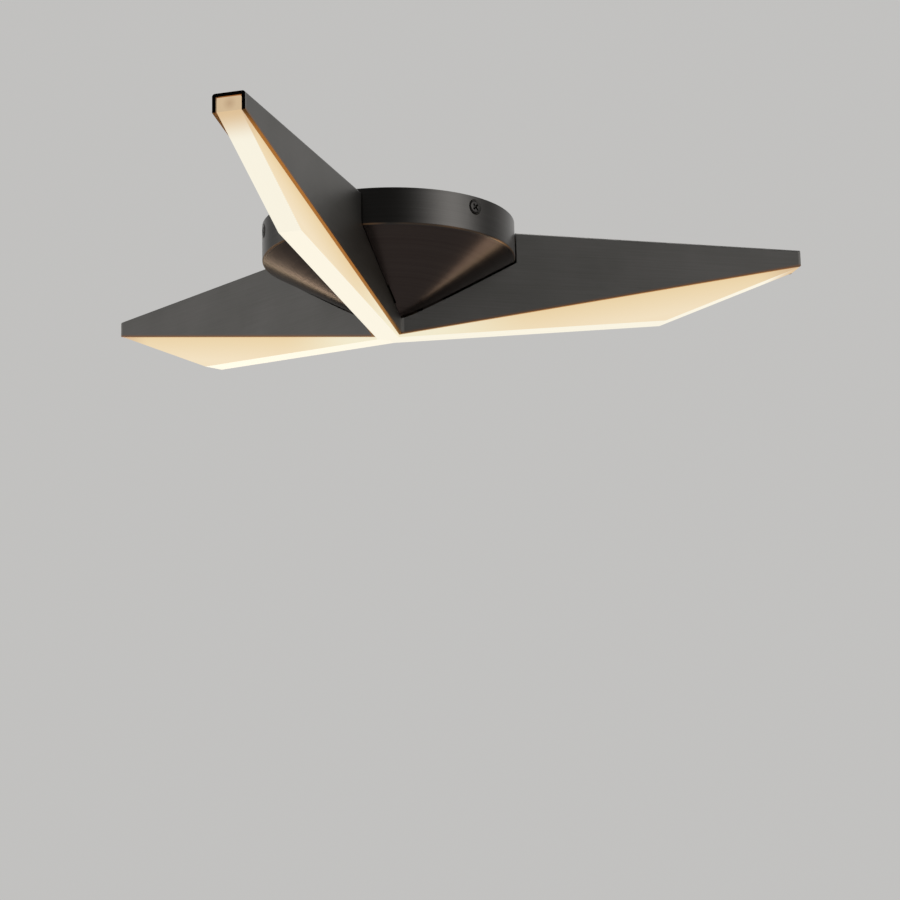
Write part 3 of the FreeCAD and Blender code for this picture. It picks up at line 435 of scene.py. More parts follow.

# %% [markdown]
# The arms have the same plating on folded sheet that was brushed along its length. The plating is
# relieved to copper along the lower edges, a real finisher's way to bring an edge out, and the copper
# there and on the faces under the edges is painted bright and warm as the painted glow of the blade
# beside it. The seams at the hub and the corners of the tips are painted light grey, as painted
# highlights where these edges catch the light. The cut ends at the tips are nearly black, and the
# tongues that go up into the canopy are painted dark, as painted shade in the gap under the cone.
# The colours are laid one over another, each with the share that it covers.

# %% Brushed dark bronze
BRUSH_LINE = 0.9 * MM        # across the brush; real lines are finer than the picture can show
BRUSH_LENGTH = 45.0 * MM
PLATING_CLOUD = 33.3 * MM
RELIEF_GLOW_WIDTH = 1.8 * MM
SEAM_WIDTH = 1.8 * MM
SEAM_REACH = ARM_HALF / math.tan(ARM_STEP / 2)
TIP_WIDTH = 1.6 * MM
TRIM_EDGE = 0.2 * MM         # over which the painted shade on the tongues starts


def brushed_bronze(arm):
    """Brushed and plated channel sheet of one arm: an even grey metal with copper and painted glow at its
    lower edge.
    """
    material, tree, shader = new_finish(f"brushed_dark_bronze_{arm}")
    place, normal = arm_axes(tree, arm)
    along = add(tree, "ShaderNodeSeparateXYZ", {0: place}).outputs["X"]
    facing = add(tree, "ShaderNodeSeparateXYZ", {0: normal}).outputs
    brush = drawn_lines(tree, place, BRUSH_LINE, BRUSH_LENGTH, detail=4.0)
    cloud = add(tree, "ShaderNodeTexNoise", {
        "Vector": place, "Scale": 1 / PLATING_CLOUD, "Detail": 3.0,
    }).outputs[0]
    tone = add(tree, "ShaderNodeMix", {"Factor": 0.5, 2: brush, 3: cloud}).outputs[0]
    tone = add(tree, "ShaderNodeMapRange", {"Value": tone, "From Min": 0.35, "From Max": 0.65}).outputs[0]
    colour = add(tree, "ShaderNodeMix", {
        "Factor": tone, 6: linear("#7b7a77"), 7: linear("#888684"),
    }, data_type="RGBA").outputs[2]

    side = add(tree, "ShaderNodeMath", {0: facing["Y"]}, operation="ABSOLUTE").outputs[0]
    side = add(tree, "ShaderNodeMath", {0: side, 1: 0.7}, operation="GREATER_THAN").outputs[0]
    # The seams and tip corners are painted light grey: painted highlights where these edges catch the light.
    seam = add(tree, "ShaderNodeMapRange", {
        "Value": along, "From Min": SEAM_REACH + SEAM_WIDTH, "From Max": SEAM_REACH + 0.6 * SEAM_WIDTH,
    }).outputs[0]
    tip = add(tree, "ShaderNodeMapRange", {
        "Value": along, "From Min": ARM_REACH - TIP_WIDTH, "From Max": ARM_REACH - 0.5 * TIP_WIDTH,
    }).outputs[0]
    dressed = add(tree, "ShaderNodeMath", {0: seam, 1: tip}, operation="MAXIMUM").outputs[0]
    dressed = add(tree, "ShaderNodeMath", {0: dressed, 1: side}, operation="MULTIPLY").outputs[0]
    # A copper band along the lower edge: relieved plating, painted brighter as the glow of the blade on it.
    relief_glow = add(tree, "ShaderNodeMapRange", {
        "Value": above_edge(tree, place), "From Min": RELIEF_GLOW_WIDTH, "From Max": 0.0,
    }, interpolation_type="SMOOTHSTEP").outputs[0]
    relief_glow = add(tree, "ShaderNodeMath", {0: relief_glow, 1: side}, operation="MULTIPLY").outputs[0]
    # Faces under the lower edge are warm copper: copper plating and painted glow from the blade.
    under, end = [
        add(tree, "ShaderNodeMapRange", {
            "Value": facing[axis], "From Min": start, "From Max": full,
        }).outputs[0]
        for axis, start, full in (("Z", -0.6, -0.85), ("X", 0.8, 0.95))
    ]
    # The tongues above the trim are painted dark: painted shade in the gap under the cone.
    gap_shade = add(tree, "ShaderNodeMapRange", {
        "Value": above_trim(tree, place), "From Min": 0.0, "From Max": TRIM_EDGE,
    }).outputs[0]
    colour_layers = (
        (dressed, "#a9a7a3"), (relief_glow, "#a98268"), (under, "#c88f4c"), (end, "#151211"), (gap_shade, "#332d2a"),
    )
    for share, code in colour_layers:
        colour = add(tree, "ShaderNodeMix", {
            "Factor": share, 6: colour, 7: linear(code),
        }, data_type="RGBA").outputs[2]

    roughness = add(tree, "ShaderNodeMapRange", {"Value": brush, "To Min": 0.38, "To Max": 0.5}).outputs[0]
    bump = add(tree, "ShaderNodeBump", {"Height": brush, "Strength": 0.04, "Distance": TEXTURE_DEPTH})
    angle = ARM_STEP * (arm - 1)
    lengthwise = add(tree, "ShaderNodeCombineXYZ", {0: math.cos(angle), 1: math.sin(angle)}).outputs[0]
    wire(tree, shader, {
        "Base Color": colour, "Metallic": 1.0, "Roughness": roughness, "Anisotropic": 0.4,
        "Anisotropic Rotation": 0.25, "Tangent": lengthwise, "Normal": bump.outputs[0],
    })
    return material


for arm in ARMS:
    dress([f"arm_channel_{arm}"], brushed_bronze(arm))
print("three arms dressed")

# %% [markdown]
# The blades are frosted acrylic, lit from the LEDs along their upper edge. The lower faces send out
# most light and are nearly white. The sides are warmer, brightest near the hub and along their lower
# edge, and their last few centimetres, past the last LED, are dimmer. The light is painted as
# emission in the arm's own axes, because light scattered inside plastic takes far longer to render.

# %% Lit frosted acrylic
DIM_LENGTH = 28 * MM
LOWER_DIM_LENGTH = 22 * MM
HUB_GLOW = 95 * MM
SIDE_DEPTH = 15 * MM         # below the channel, where the light from above has spread out
SPOT_RADIUS = 4 * MM
SPOT_SIDE = 0.5 * MM
BLADE_END_HEIGHT = -10.5 * MM
FROST_GRAIN = 1.1 * MM       # real frosting is finer than the picture can show


def lit_acrylic(arm):
    """Frosted blade of one arm, lit warm white."""
    material, tree, shader = new_finish(f"frosted_acrylic_{arm}")
    place, normal = arm_axes(tree, arm)
    along = add(tree, "ShaderNodeSeparateXYZ", {0: place}).outputs["X"]
    facing = add(tree, "ShaderNodeSeparateXYZ", {0: normal}).outputs
    under, upper, end = [
        add(tree, "ShaderNodeMapRange", {
            "Value": facing[axis], "From Min": start, "From Max": full,
        }).outputs[0]
        for axis, start, full in (("Z", -0.3, -0.7), ("Z", 0.3, 0.7), ("X", 0.8, 0.95))
    ]
    low = add(tree, "ShaderNodeMapRange", {
        "Value": above_edge(tree, place), "From Min": 0.0, "From Max": -SIDE_DEPTH,
    }).outputs[0]
    near_hub, dim, lower_dim = [
        add(tree, "ShaderNodeMapRange", {
            "Value": along, "From Min": start, "From Max": full,
        }, interpolation_type="SMOOTHSTEP").outputs[0]
        for start, full in (
            (HUB_GLOW, 0.2 * HUB_GLOW), (ARM_REACH - DIM_LENGTH, ARM_REACH),
            (ARM_REACH - LOWER_DIM_LENGTH, ARM_REACH),
        )
    ]

    side = linear("#ecd4a8")
    for share, code in ((low, "#f4e2c2"), (near_hub, "#f4ecd0"), (upper, "#3a3024"), (dim, "#d9bc98")):
        side = add(tree, "ShaderNodeMix", {
            "Factor": share, 6: side, 7: linear(code),
        }, data_type="RGBA").outputs[2]
    lower = add(tree, "ShaderNodeMix", {
        "Factor": lower_dim, 6: linear("#fbf5e3"), 7: linear("#e0c298"),
    }, data_type="RGBA").outputs[2]
    spot = add(tree, "ShaderNodeVectorMath", {
        0: place, 1: (ARM_REACH, SPOT_SIDE, BLADE_END_HEIGHT),
    }, operation="DISTANCE").outputs["Value"]
    spot = add(tree, "ShaderNodeMapRange", {
        "Value": spot, "From Min": 0.0, "From Max": SPOT_RADIUS,
    }).outputs[0]
    end_glow = add(tree, "ShaderNodeMix", {
        "Factor": spot, 6: linear("#bfa280"), 7: linear("#d3b995"),
    }, data_type="RGBA").outputs[2]
    glow = side
    for share, tint in ((under, lower), (end, end_glow)):
        glow = add(tree, "ShaderNodeMix", {"Factor": share, 6: glow, 7: tint}, data_type="RGBA").outputs[2]

    grain = add(tree, "ShaderNodeTexNoise", {
        "Vector": place, "Scale": 1 / FROST_GRAIN, "Detail": 2.0,
    }).outputs[0]
    bump = add(tree, "ShaderNodeBump", {"Height": grain, "Strength": 0.1, "Distance": TEXTURE_DEPTH})
    wire(tree, shader, {
        "Base Color": linear("#3e3b36"), "Roughness": 0.55, "IOR": 1.49, "Normal": bump.outputs[0],
        "Emission Color": glow, "Emission Strength": 0.96,
    })
    return material


for arm in ARMS:
    dress([f"diffuser_{arm}"], lit_acrylic(arm))
print("three blades lit")

# %% [markdown]
# The rest shows only from above, before the light is put up: the bracket and the hub plate of
# galvanised sheet, plated screws and nuts, the moulded driver, and the trays, boards and LEDs in the
# arms. Galvanised sheet has a spangle of zinc crystals, which a Voronoi pattern draws cell by cell, and
# small plated pieces are only cloudy.

# %% Sheet and plated steel
SPANGLE = 6 * MM
CLOUD = 3 * MM


def galvanised_sheet():
    """Hot-dip zinc: pale metal whose crystals each mirror a little differently."""
    material, tree, shader = new_finish("galvanised_steel")
    place = add(tree, "ShaderNodeTexCoord").outputs["Object"]
    crystal = add(tree, "ShaderNodeTexVoronoi", {"Vector": place, "Scale": 1 / SPANGLE}).outputs["Color"]
    tone = add(tree, "ShaderNodeSeparateColor", {0: crystal}).outputs[0]
    colour = add(tree, "ShaderNodeMix", {
        "Factor": tone, 6: linear("#a2a6a9"), 7: linear("#c6cacc"),
    }, data_type="RGBA").outputs[2]
    roughness = add(tree, "ShaderNodeMapRange", {"Value": tone, "To Min": 0.36, "To Max": 0.52}).outputs[0]
    wire(tree, shader, {"Base Color": colour, "Metallic": 1.0, "Roughness": roughness})
    return material


def plated_steel(name, dull, bright, gloss_loss):
    """Thin plating on a small turned or pressed piece: a satin metal with faint clouds."""
    material, tree, shader = new_finish(name)
    place = add(tree, "ShaderNodeTexCoord").outputs["Object"]
    cloud = add(tree, "ShaderNodeTexNoise", {"Vector": place, "Scale": 1 / CLOUD, "Detail": 4.0}).outputs[0]
    tone = add(tree, "ShaderNodeMapRange", {"Value": cloud, "From Min": 0.35, "From Max": 0.65}).outputs[0]
    colour = add(tree, "ShaderNodeMix", {
        "Factor": tone, 6: linear(dull), 7: linear(bright),
    }, data_type="RGBA").outputs[2]
    roughness = add(tree, "ShaderNodeMapRange", {
        "Value": cloud, "To Min": gloss_loss - 0.08, "To Max": gloss_loss + 0.08,
    }).outputs[0]
    wire(tree, shader, {"Base Color": colour, "Metallic": 1.0, "Roughness": roughness})
    return material


zinc = plated_steel("zinc_plated_steel", "#a7abb0", "#c9cdd2", gloss_loss=0.34)
green_zinc = plated_steel("green_dyed_zinc", "#3c7a48", "#5a9a62", gloss_loss=0.38)
black_oxide = plated_steel("black_oxide_steel", "#4f4d4c", "#5e5c5a", gloss_loss=0.3)
dress(["mounting_bracket", "hub_plate"], galvanised_sheet())
dress(["arm_nuts", "tray_nuts", "driver_spacers"], zinc)
print("steel pieces dressed")

# %% [markdown]
# The trays are rolled aluminium strip, whose lines run along the arm. The boards are white solder mask
# over two long tracks that show through a little. An LED is a white package with yellow phosphor on its
# lower face, and it glows.

# %% Trays, boards and LEDs
ROLL_LINE = 0.6 * MM         # drawn coarser than the real 0.1 mm, so that it shows
ROLL_LENGTH = 30 * MM
TRACK_SIDE = 3.8 * MM
TRACK_WIDTH = 1.2 * MM
BOARD_WEAVE = 1.4 * MM       # of the glass cloth under the mask, drawn coarse
PHOSPHOR_SPECK = 0.67 * MM


def rolled_aluminium(arm):
    """Mill-finish strip: bright and streaky along the roll."""
    material, tree, shader = new_finish(f"rolled_aluminium_{arm}")
    streak = drawn_lines(tree, arm_axes(tree, arm)[0], ROLL_LINE, ROLL_LENGTH, detail=3.0)
    colour = add(tree, "ShaderNodeMix", {
        "Factor": streak, 6: linear("#b4b6b8"), 7: linear("#dcdee0"),
    }, data_type="RGBA").outputs[2]
    roughness = add(tree, "ShaderNodeMapRange", {"Value": streak, "To Min": 0.28, "To Max": 0.45}).outputs[0]
    wire(tree, shader, {"Base Color": colour, "Metallic": 1.0, "Roughness": roughness})
    return material


def solder_mask(arm):
    """White lacquer on a board: glossy, with the tracks as faint darker bands."""
    material, tree, shader = new_finish(f"white_solder_mask_{arm}")
    place = arm_axes(tree, arm)[0]
    across = add(tree, "ShaderNodeSeparateXYZ", {0: place}).outputs["Y"]
    across = add(tree, "ShaderNodeMath", {0: across}, operation="ABSOLUTE").outputs[0]
    track = add(tree, "ShaderNodeMath", {
        0: across, 1: TRACK_SIDE, 2: TRACK_WIDTH / 2,
    }, operation="COMPARE").outputs[0]
    weave = add(tree, "ShaderNodeTexNoise", {
        "Vector": place, "Scale": 1 / BOARD_WEAVE, "Detail": 1.0,
    }).outputs[0]
    base = add(tree, "ShaderNodeMix", {
        "Factor": weave, 6: linear("#dddcd6"), 7: linear("#ecebe6"),
    }, data_type="RGBA").outputs[2]
    colour = add(tree, "ShaderNodeMix", {
        "Factor": track, 6: base, 7: linear("#cdc7b4"),
    }, data_type="RGBA").outputs[2]
    wire(tree, shader, {"Base Color": colour, "Roughness": 0.3})
    return material


def led_package(arm):
    """White moulded package with a lit yellow phosphor face below."""
    material, tree, shader = new_finish(f"led_phosphor_{arm}")
    place, normal = arm_axes(tree, arm)
    down = add(tree, "ShaderNodeSeparateXYZ", {0: normal}).outputs["Z"]
    face = add(tree, "ShaderNodeMapRange", {"Value": down, "From Min": -0.5, "From Max": -0.8}).outputs[0]
    speck = add(tree, "ShaderNodeTexNoise", {
        "Vector": place, "Scale": 1 / PHOSPHOR_SPECK, "Detail": 2.0,
    }).outputs[0]
    phosphor = add(tree, "ShaderNodeMix", {
        "Factor": speck, 6: linear("#e0b23a"), 7: linear("#f2cf62"),
    }, data_type="RGBA").outputs[2]
    colour = add(tree, "ShaderNodeMix", {
        "Factor": face, 6: linear("#e6e5e0"), 7: phosphor,
    }, data_type="RGBA").outputs[2]
    glow = add(tree, "ShaderNodeMix", {
        "Factor": face, 6: linear("#000000"), 7: linear("#fff0d2"),
    }, data_type="RGBA").outputs[2]
    wire(tree, shader, {
        "Base Color": colour, "Roughness": 0.4, "IOR": 1.5, "Emission Color": glow, "Emission Strength": 1.0,
    })
    return material


for arm in ARMS:
    dress([f"led_tray_{arm}"], rolled_aluminium(arm))
    dress([f"led_board_{arm}"], solder_mask(arm))
    dress([f"leds_{arm}"], led_package(arm))
print("trays, boards and LEDs dressed")

# %% [markdown]
# The driver's housing is moulded polycarbonate with a spark-eroded texture, and its terminal blocks are
# grey nylon. One function makes both, and the rubber and PVC that come later, because they differ only
# in colour, grain, gloss and index of refraction.

# %% Moulded plastics
CASE_GRAIN = 0.5 * MM        # a real mould texture is half as coarse
NYLON_GRAIN = 0.4 * MM
FLOW_MARK = 25 * MM          # clouds where the plastic flowed in the mould


def moulded_plastic(name, dull, bright, grain, gloss_loss, bend):
    """Moulded plastic: an even colour broken by a fine dull texture; bend is its index of refraction."""
    material, tree, shader = new_finish(name)
    place = add(tree, "ShaderNodeTexCoord").outputs["Object"]
    texture, flow = [
        add(tree, "ShaderNodeTexNoise", {"Vector": place, "Scale": 1 / size, "Detail": 2.0}).outputs[0]
        for size in (grain, FLOW_MARK)
    ]
    colour = add(tree, "ShaderNodeMix", {
        "Factor": flow, 6: linear(dull), 7: linear(bright),
    }, data_type="RGBA").outputs[2]
    roughness = add(tree, "ShaderNodeMapRange", {
        "Value": texture, "To Min": gloss_loss - 0.08, "To Max": gloss_loss + 0.08,
    }).outputs[0]
    bump = add(tree, "ShaderNodeBump", {"Height": texture, "Strength": 0.15, "Distance": TEXTURE_DEPTH})
    wire(tree, shader, {
        "Base Color": colour, "Roughness": roughness, "IOR": bend, "Normal": bump.outputs[0],
    })
    return material


white_case = moulded_plastic(
    "white_polycarbonate", "#dcdbd5", "#ebeae5", CASE_GRAIN, gloss_loss=0.48, bend=1.58,
)
grey_nylon = moulded_plastic("grey_nylon", "#85888a", "#9b9ea0", NYLON_GRAIN, gloss_loss=0.5, bend=1.53)
black_rubber = moulded_plastic("black_rubber", "#181716", "#262524", NYLON_GRAIN, gloss_loss=0.75, bend=1.52)
lead_cover = moulded_plastic("white_pvc", "#d8d6cc", "#e8e6dd", NYLON_GRAIN, gloss_loss=0.42, bend=1.53)
dress(["driver_case", "driver_lid"], white_case)
dress(["driver_input", "driver_output"], grey_nylon)
print("plastics dressed")

# %% [markdown]
# Each lead is a limp pair of wires in one cover, from the driver down through a bush to a board. A
# NURBS curve with a round bevel draws it as one smooth line, and the control points are the corners of
# the route that the CAD model's lead follows. A tube of straight runs and arcs would look like bent wire.

# %% Leads
LEAD_DIAMETER = 2.0 * MM
LEAD_HOLE_REACH = 33.5       # millimetres, as are the other lengths of the routes
LEAD_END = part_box("led_lead_1")[0].z / MM
EXIT_SIDE = -40
EXIT_HEIGHT = -20
LOW_RUN = -16
HIGH_RUN = -11
holes = [
    (LEAD_HOLE_REACH * math.cos(ARM_STEP * (arm - 1)), LEAD_HOLE_REACH * math.sin(ARM_STEP * (arm - 1)))
    for arm in ARMS
]
# The length that the CAD model's lead has along its centre, and the points of its route
LEADS = {
    1: (113.9, [
        (10, EXIT_SIDE, EXIT_HEIGHT), (10, -57, EXIT_HEIGHT), (28, -53, EXIT_HEIGHT), (38, -32, LOW_RUN),
        (*holes[0], LOW_RUN), (*holes[0], LEAD_END),
    ]),
    2: (166.6, [
        (3, EXIT_SIDE, EXIT_HEIGHT), (3, -58, EXIT_HEIGHT), (-15, -58, HIGH_RUN), (-32, -44, HIGH_RUN),
        (-31, -15, HIGH_RUN), (-26, 14, HIGH_RUN), (*holes[1], HIGH_RUN), (*holes[1], LEAD_END),
    ]),
    3: (77.4, [
        (-4, EXIT_SIDE, EXIT_HEIGHT), (-4, -55, EXIT_HEIGHT), (-19, -53, EXIT_HEIGHT),
        (*holes[2], LOW_RUN), (*holes[2], LEAD_END),
    ]),
}


def lay_lead(arm, route):
    """Smooth round lead along a route."""
    curve = bpy.data.curves.new(f"lead_{arm}", "CURVE")
    curve.dimensions = "3D"
    curve.bevel_depth = LEAD_DIAMETER / 2
    curve.bevel_resolution = 3
    curve.resolution_u = 10
    curve.use_fill_caps = True
    spline = curve.splines.new("NURBS")
    spline.points.add(len(route) - 1)
    for point, place in zip(spline.points, route):
        point.co = (*(value * MM for value in place), 1.0)
    spline.order_u = 3
    spline.use_endpoint_u = True
    curve.materials.append(lead_cover)
    lead = bpy.data.objects.new(f"lead_{arm}", curve)
    bpy.context.scene.collection.objects.link(lead)
    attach(lead, "light")
    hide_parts(f"led_lead_{arm}")


for arm, (length, route) in LEADS.items():
    lay_lead(arm, route)
print("three leads laid")

# %% [markdown]
# Screws, rivets and bushes repeat, so each kind is one Geometry Nodes tree that is run on a few points.
# A point is the place of one piece, and its "lie" holds the turns that point the piece the right way.
# The sizes are named inputs of the tree. Afterwards the result is kept as a plain mesh.

# %% Trees for repeated pieces
SMOOTH_ANGLE = math.radians(35)


def size_tree(name, sizes):
    """An empty tree with named size inputs: the tree and the sockets of its input node."""
    tree = bpy.data.node_groups.new(name, "GeometryNodeTree")
    tree.interface.new_socket("Places", in_out="INPUT", socket_type="NodeSocketGeometry")
    for size in sizes:
        tree.interface.new_socket(size, in_out="INPUT", socket_type="NodeSocketFloat")
    tree.interface.new_socket("Finish", in_out="INPUT", socket_type="NodeSocketMaterial")
    tree.interface.new_socket("Pieces", in_out="OUTPUT", socket_type="NodeSocketGeometry")
    return tree, add(tree, "NodeGroupInput").outputs


def repeat_on_places(tree, given, shape):
    """Ends a tree: a real copy of the shape on every place, with its finish."""
    lie = add(tree, "GeometryNodeInputNamedAttribute", {"Name": "lie"}, data_type="FLOAT_VECTOR")
    turn = add(tree, "FunctionNodeEulerToRotation", {0: lie.outputs["Attribute"]}).outputs[0]
    copies = add(tree, "GeometryNodeInstanceOnPoints", {
        "Points": given["Places"], "Instance": shape, "Rotation": turn,
    }).outputs[0]
    real = add(tree, "GeometryNodeRealizeInstances", {0: copies}).outputs[0]
    done = add(tree, "GeometryNodeSetMaterial", {"Geometry": real, "Material": given["Finish"]}).outputs[0]
    add(tree, "NodeGroupOutput", {0: done})


def grow(name, tree, places, sizes, finish, node, body="light"):
    """Runs a tree on (place, lie) points and puts the mesh in a CAD node's stead."""
    points = bpy.data.meshes.new(name + "_places")
    points.from_pydata([place for place, lie in places], [], [])
    lies = points.attributes.new("lie", "FLOAT_VECTOR", "POINT")
    for row, (place, lie) in zip(lies.data, places):
        row.vector = lie
    source = bpy.data.objects.new(name + "_places", points)
    bpy.context.scene.collection.objects.link(source)
    modifier = source.modifiers.new("grow", "NODES")
    modifier.node_group = tree
    values = dict(sizes, Finish=finish)
    for socket in tree.interface.items_tree:
        if socket.in_out == "INPUT" and socket.name in values:
            modifier[socket.identifier] = values[socket.name]
    mesh = bpy.data.meshes.new_from_object(source.evaluated_get(bpy.context.evaluated_depsgraph_get()))
    bpy.data.objects.remove(source)
    mesh.name = name
    mesh.shade_smooth()
    mesh.set_sharp_from_angle(angle=SMOOTH_ANGLE)
    piece = bpy.data.objects.new(name, mesh)
    bpy.context.scene.collection.objects.link(piece)
    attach(piece, body)
    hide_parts(node)
    print(name, "in mm:", [round(value / MM, 2) for value in piece.dimensions], len(mesh.polygons), "faces")


def round_the_arms(reach, side, height, tilt=0.0):
    """One place beside each arm, turned with the arm."""
    places = []
    for arm in ARMS:
        angle = ARM_STEP * (arm - 1)
        spot = Matrix.Rotation(angle, 4, "Z") @ Vector((reach, side, height))
        places.append((spot, (0, tilt, angle)))
    return places


print("a piece is smooth where its faces turn by less than", round(math.degrees(SMOOTH_ANGLE)), "degrees")

# %% [markdown]
# A screw has a domed head with a cross recess and a threaded shank. The head is a disc whose top falls
# away toward its rim, two crossed bars are cut out of it, and the shank is a cylinder whose radius goes
# in and out once in each thread. A true helix would have more faces and look the same at this size.

# %% Screw trees
SCREW_SIZES = [
    "Head Diameter", "Head Height", "Cross Length", "Cross Width", "Cross Depth",
    "Shank Diameter", "Shank Length", "Thread Pitch",
]
HEAD_SIDES = 32
HEAD_RINGS = 12
SHANK_SIDES = 20


def domed_head(tree, diameter, height, fall, steepness=3.0):
    """Round head that stands on height 0; fall is the share of its height that its rim lacks."""
    radius = add(tree, "ShaderNodeMath", {0: diameter, 1: 0.5}, operation="MULTIPLY").outputs[0]
    disc = add(tree, "GeometryNodeMeshCylinder", {
        "Vertices": HEAD_SIDES, "Side Segments": 1, "Fill Segments": HEAD_RINGS, "Radius": radius,
        "Depth": height,
    }, fill_type="TRIANGLE_FAN").outputs["Mesh"]
    place = add(tree, "GeometryNodeInputPosition").outputs[0]
    flat, span = off_axis(tree, place)
    share = add(tree, "ShaderNodeMath", {0: span, 1: radius}, operation="DIVIDE").outputs[0]
    share = add(tree, "ShaderNodeMath", {0: share, 1: steepness}, operation="POWER").outputs[0]
    kept = add(tree, "ShaderNodeMath", {0: share, 1: -fall, 2: 1.0}, operation="MULTIPLY_ADD").outputs[0]
    level = add(tree, "ShaderNodeSeparateXYZ", {0: place}).outputs["Z"]
    level = add(tree, "ShaderNodeMath", {0: height, 1: 0.5, 2: level}, operation="MULTIPLY_ADD").outputs[0]
    level = add(tree, "ShaderNodeMath", {0: level, 1: kept}, operation="MULTIPLY").outputs[0]
    lift = add(tree, "ShaderNodeCombineXYZ", {2: level}).outputs[0]
    domed = add(tree, "ShaderNodeVectorMath", {0: flat, 1: lift}, operation="ADD").outputs[0]
    return add(tree, "GeometryNodeSetPosition", {"Geometry": disc, "Position": domed}).outputs[0]


def shank(tree, diameter, length, pitch):
    """Threaded shank that hangs from height 0."""
    radius = add(tree, "ShaderNodeMath", {0: diameter, 1: 0.5}, operation="MULTIPLY").outputs[0]
    half_pitch = add(tree, "ShaderNodeMath", {0: pitch, 1: 0.5}, operation="MULTIPLY").outputs[0]
    rows = add(tree, "ShaderNodeMath", {0: length, 1: half_pitch}, operation="DIVIDE").outputs[0]
    rod = add(tree, "GeometryNodeMeshCylinder", {
        "Vertices": SHANK_SIDES, "Side Segments": rows, "Radius": radius, "Depth": length,
    }).outputs["Mesh"]
    place = add(tree, "GeometryNodeInputPosition").outputs[0]
    level = add(tree, "ShaderNodeSeparateXYZ", {0: place}).outputs["Z"]
    groove = add(tree, "ShaderNodeMath", {0: level, 1: half_pitch}, operation="PINGPONG").outputs[0]
    groove = add(tree, "ShaderNodeMath", {0: groove, 1: diameter}, operation="DIVIDE").outputs[0]
    kept = add(tree, "ShaderNodeMath", {0: groove, 1: -1.0, 2: 1.0}, operation="MULTIPLY_ADD").outputs[0]
    squeeze = add(tree, "ShaderNodeCombineXYZ", {0: kept, 1: kept, 2: 1.0}).outputs[0]
    grooved = add(tree, "ShaderNodeVectorMath", {0: place, 1: squeeze}, operation="MULTIPLY").outputs[0]
    rod = add(tree, "GeometryNodeSetPosition", {"Geometry": rod, "Position": grooved}).outputs[0]
    drop = add(tree, "ShaderNodeMath", {0: length, 1: -0.5}, operation="MULTIPLY").outputs[0]
    drop = add(tree, "ShaderNodeCombineXYZ", {2: drop}).outputs[0]
    return add(tree, "GeometryNodeTransform", {"Geometry": rod, "Translation": drop}).outputs[0]


def screw_tree(name, fall, steepness):
    """Screw with a cross recess in its domed head."""
    tree, given = size_tree(name, SCREW_SIZES)
    head = domed_head(tree, given["Head Diameter"], given["Head Height"], fall, steepness)
    deep = add(tree, "ShaderNodeMath", {0: given["Cross Depth"], 1: 2.0}, operation="MULTIPLY").outputs[0]
    top = add(tree, "ShaderNodeCombineXYZ", {2: given["Head Height"]}).outputs[0]
    bars = []
    for across, along in (("Cross Length", "Cross Width"), ("Cross Width", "Cross Length")):
        size = add(tree, "ShaderNodeCombineXYZ", {0: given[across], 1: given[along], 2: deep}).outputs[0]
        bar = add(tree, "GeometryNodeMeshCube", {"Size": size}).outputs["Mesh"]
        bars.append(add(tree, "GeometryNodeTransform", {"Geometry": bar, "Translation": top}).outputs[0])
    recessed = add(tree, "GeometryNodeMeshBoolean", {"Mesh 1": head, "Mesh 2": bars}, operation="DIFFERENCE")
    thread = shank(tree, given["Shank Diameter"], given["Shank Length"], given["Thread Pitch"])
    screw = add(tree, "GeometryNodeJoinGeometry", {0: [recessed.outputs["Mesh"], thread]}).outputs[0]
    repeat_on_places(tree, given, screw)
    return tree


pan_screw = screw_tree("pan_head_screw", fall=0.45, steepness=3.0)
rim_screw = screw_tree("flat_head_screw", fall=0.35, steepness=9.0)
print("two screws with", len(SCREW_SIZES), "sizes each")

# %% [markdown]
# Pan heads, which are domed all over, hold the arms, the trays and the driver, and a green one takes the
# earth wire. The heads that sit in the canopy's rim are flat with a rounded edge, so their fall is
# steeper. A rim screw can be turned, so each is a piece by itself that rides on its own body.

# %% Screws in their places
CROSS_LENGTH = 0.62          # of the cross recess, as shares of the head's diameter
CROSS_WIDTH = 0.16
CROSS_DEPTH = 0.7            # as a share of the head's height
HUB_TOP = -34.0 * MM
TAB_SCREW_REACH = 24.0 * MM
TAB_SCREW_SIDE = ARM_HALF + 5.0 * MM
TRAY_SCREW_REACH = 21.75 * MM
DRIVER_SHIFT = 3.0 * MM
DRIVER_SCREW_SIDE = 37.0 * MM
DRIVER_EAR_TOP = HUB_TOP + 6.5 * MM
BRACKET_UNDERSIDE = -2.0 * MM
GROUND_SCREW_REACH = 38.0 * MM
SEAT_HOLD = 0.9 * MM         # depth in its seat at which a rim screw's head rests
RIM_SCREW_CROSS = math.radians(45)       # turn of the cross from upright


def screw_sizes(diameter, head, height, length, pitch):
    """Sizes of one screw, given in millimetres; the cross follows the head."""
    values = (
        head, height, CROSS_LENGTH * head, CROSS_WIDTH * head, CROSS_DEPTH * height, diameter, length, pitch,
    )
    return dict(zip(SCREW_SIZES, (value * MM for value in values)))


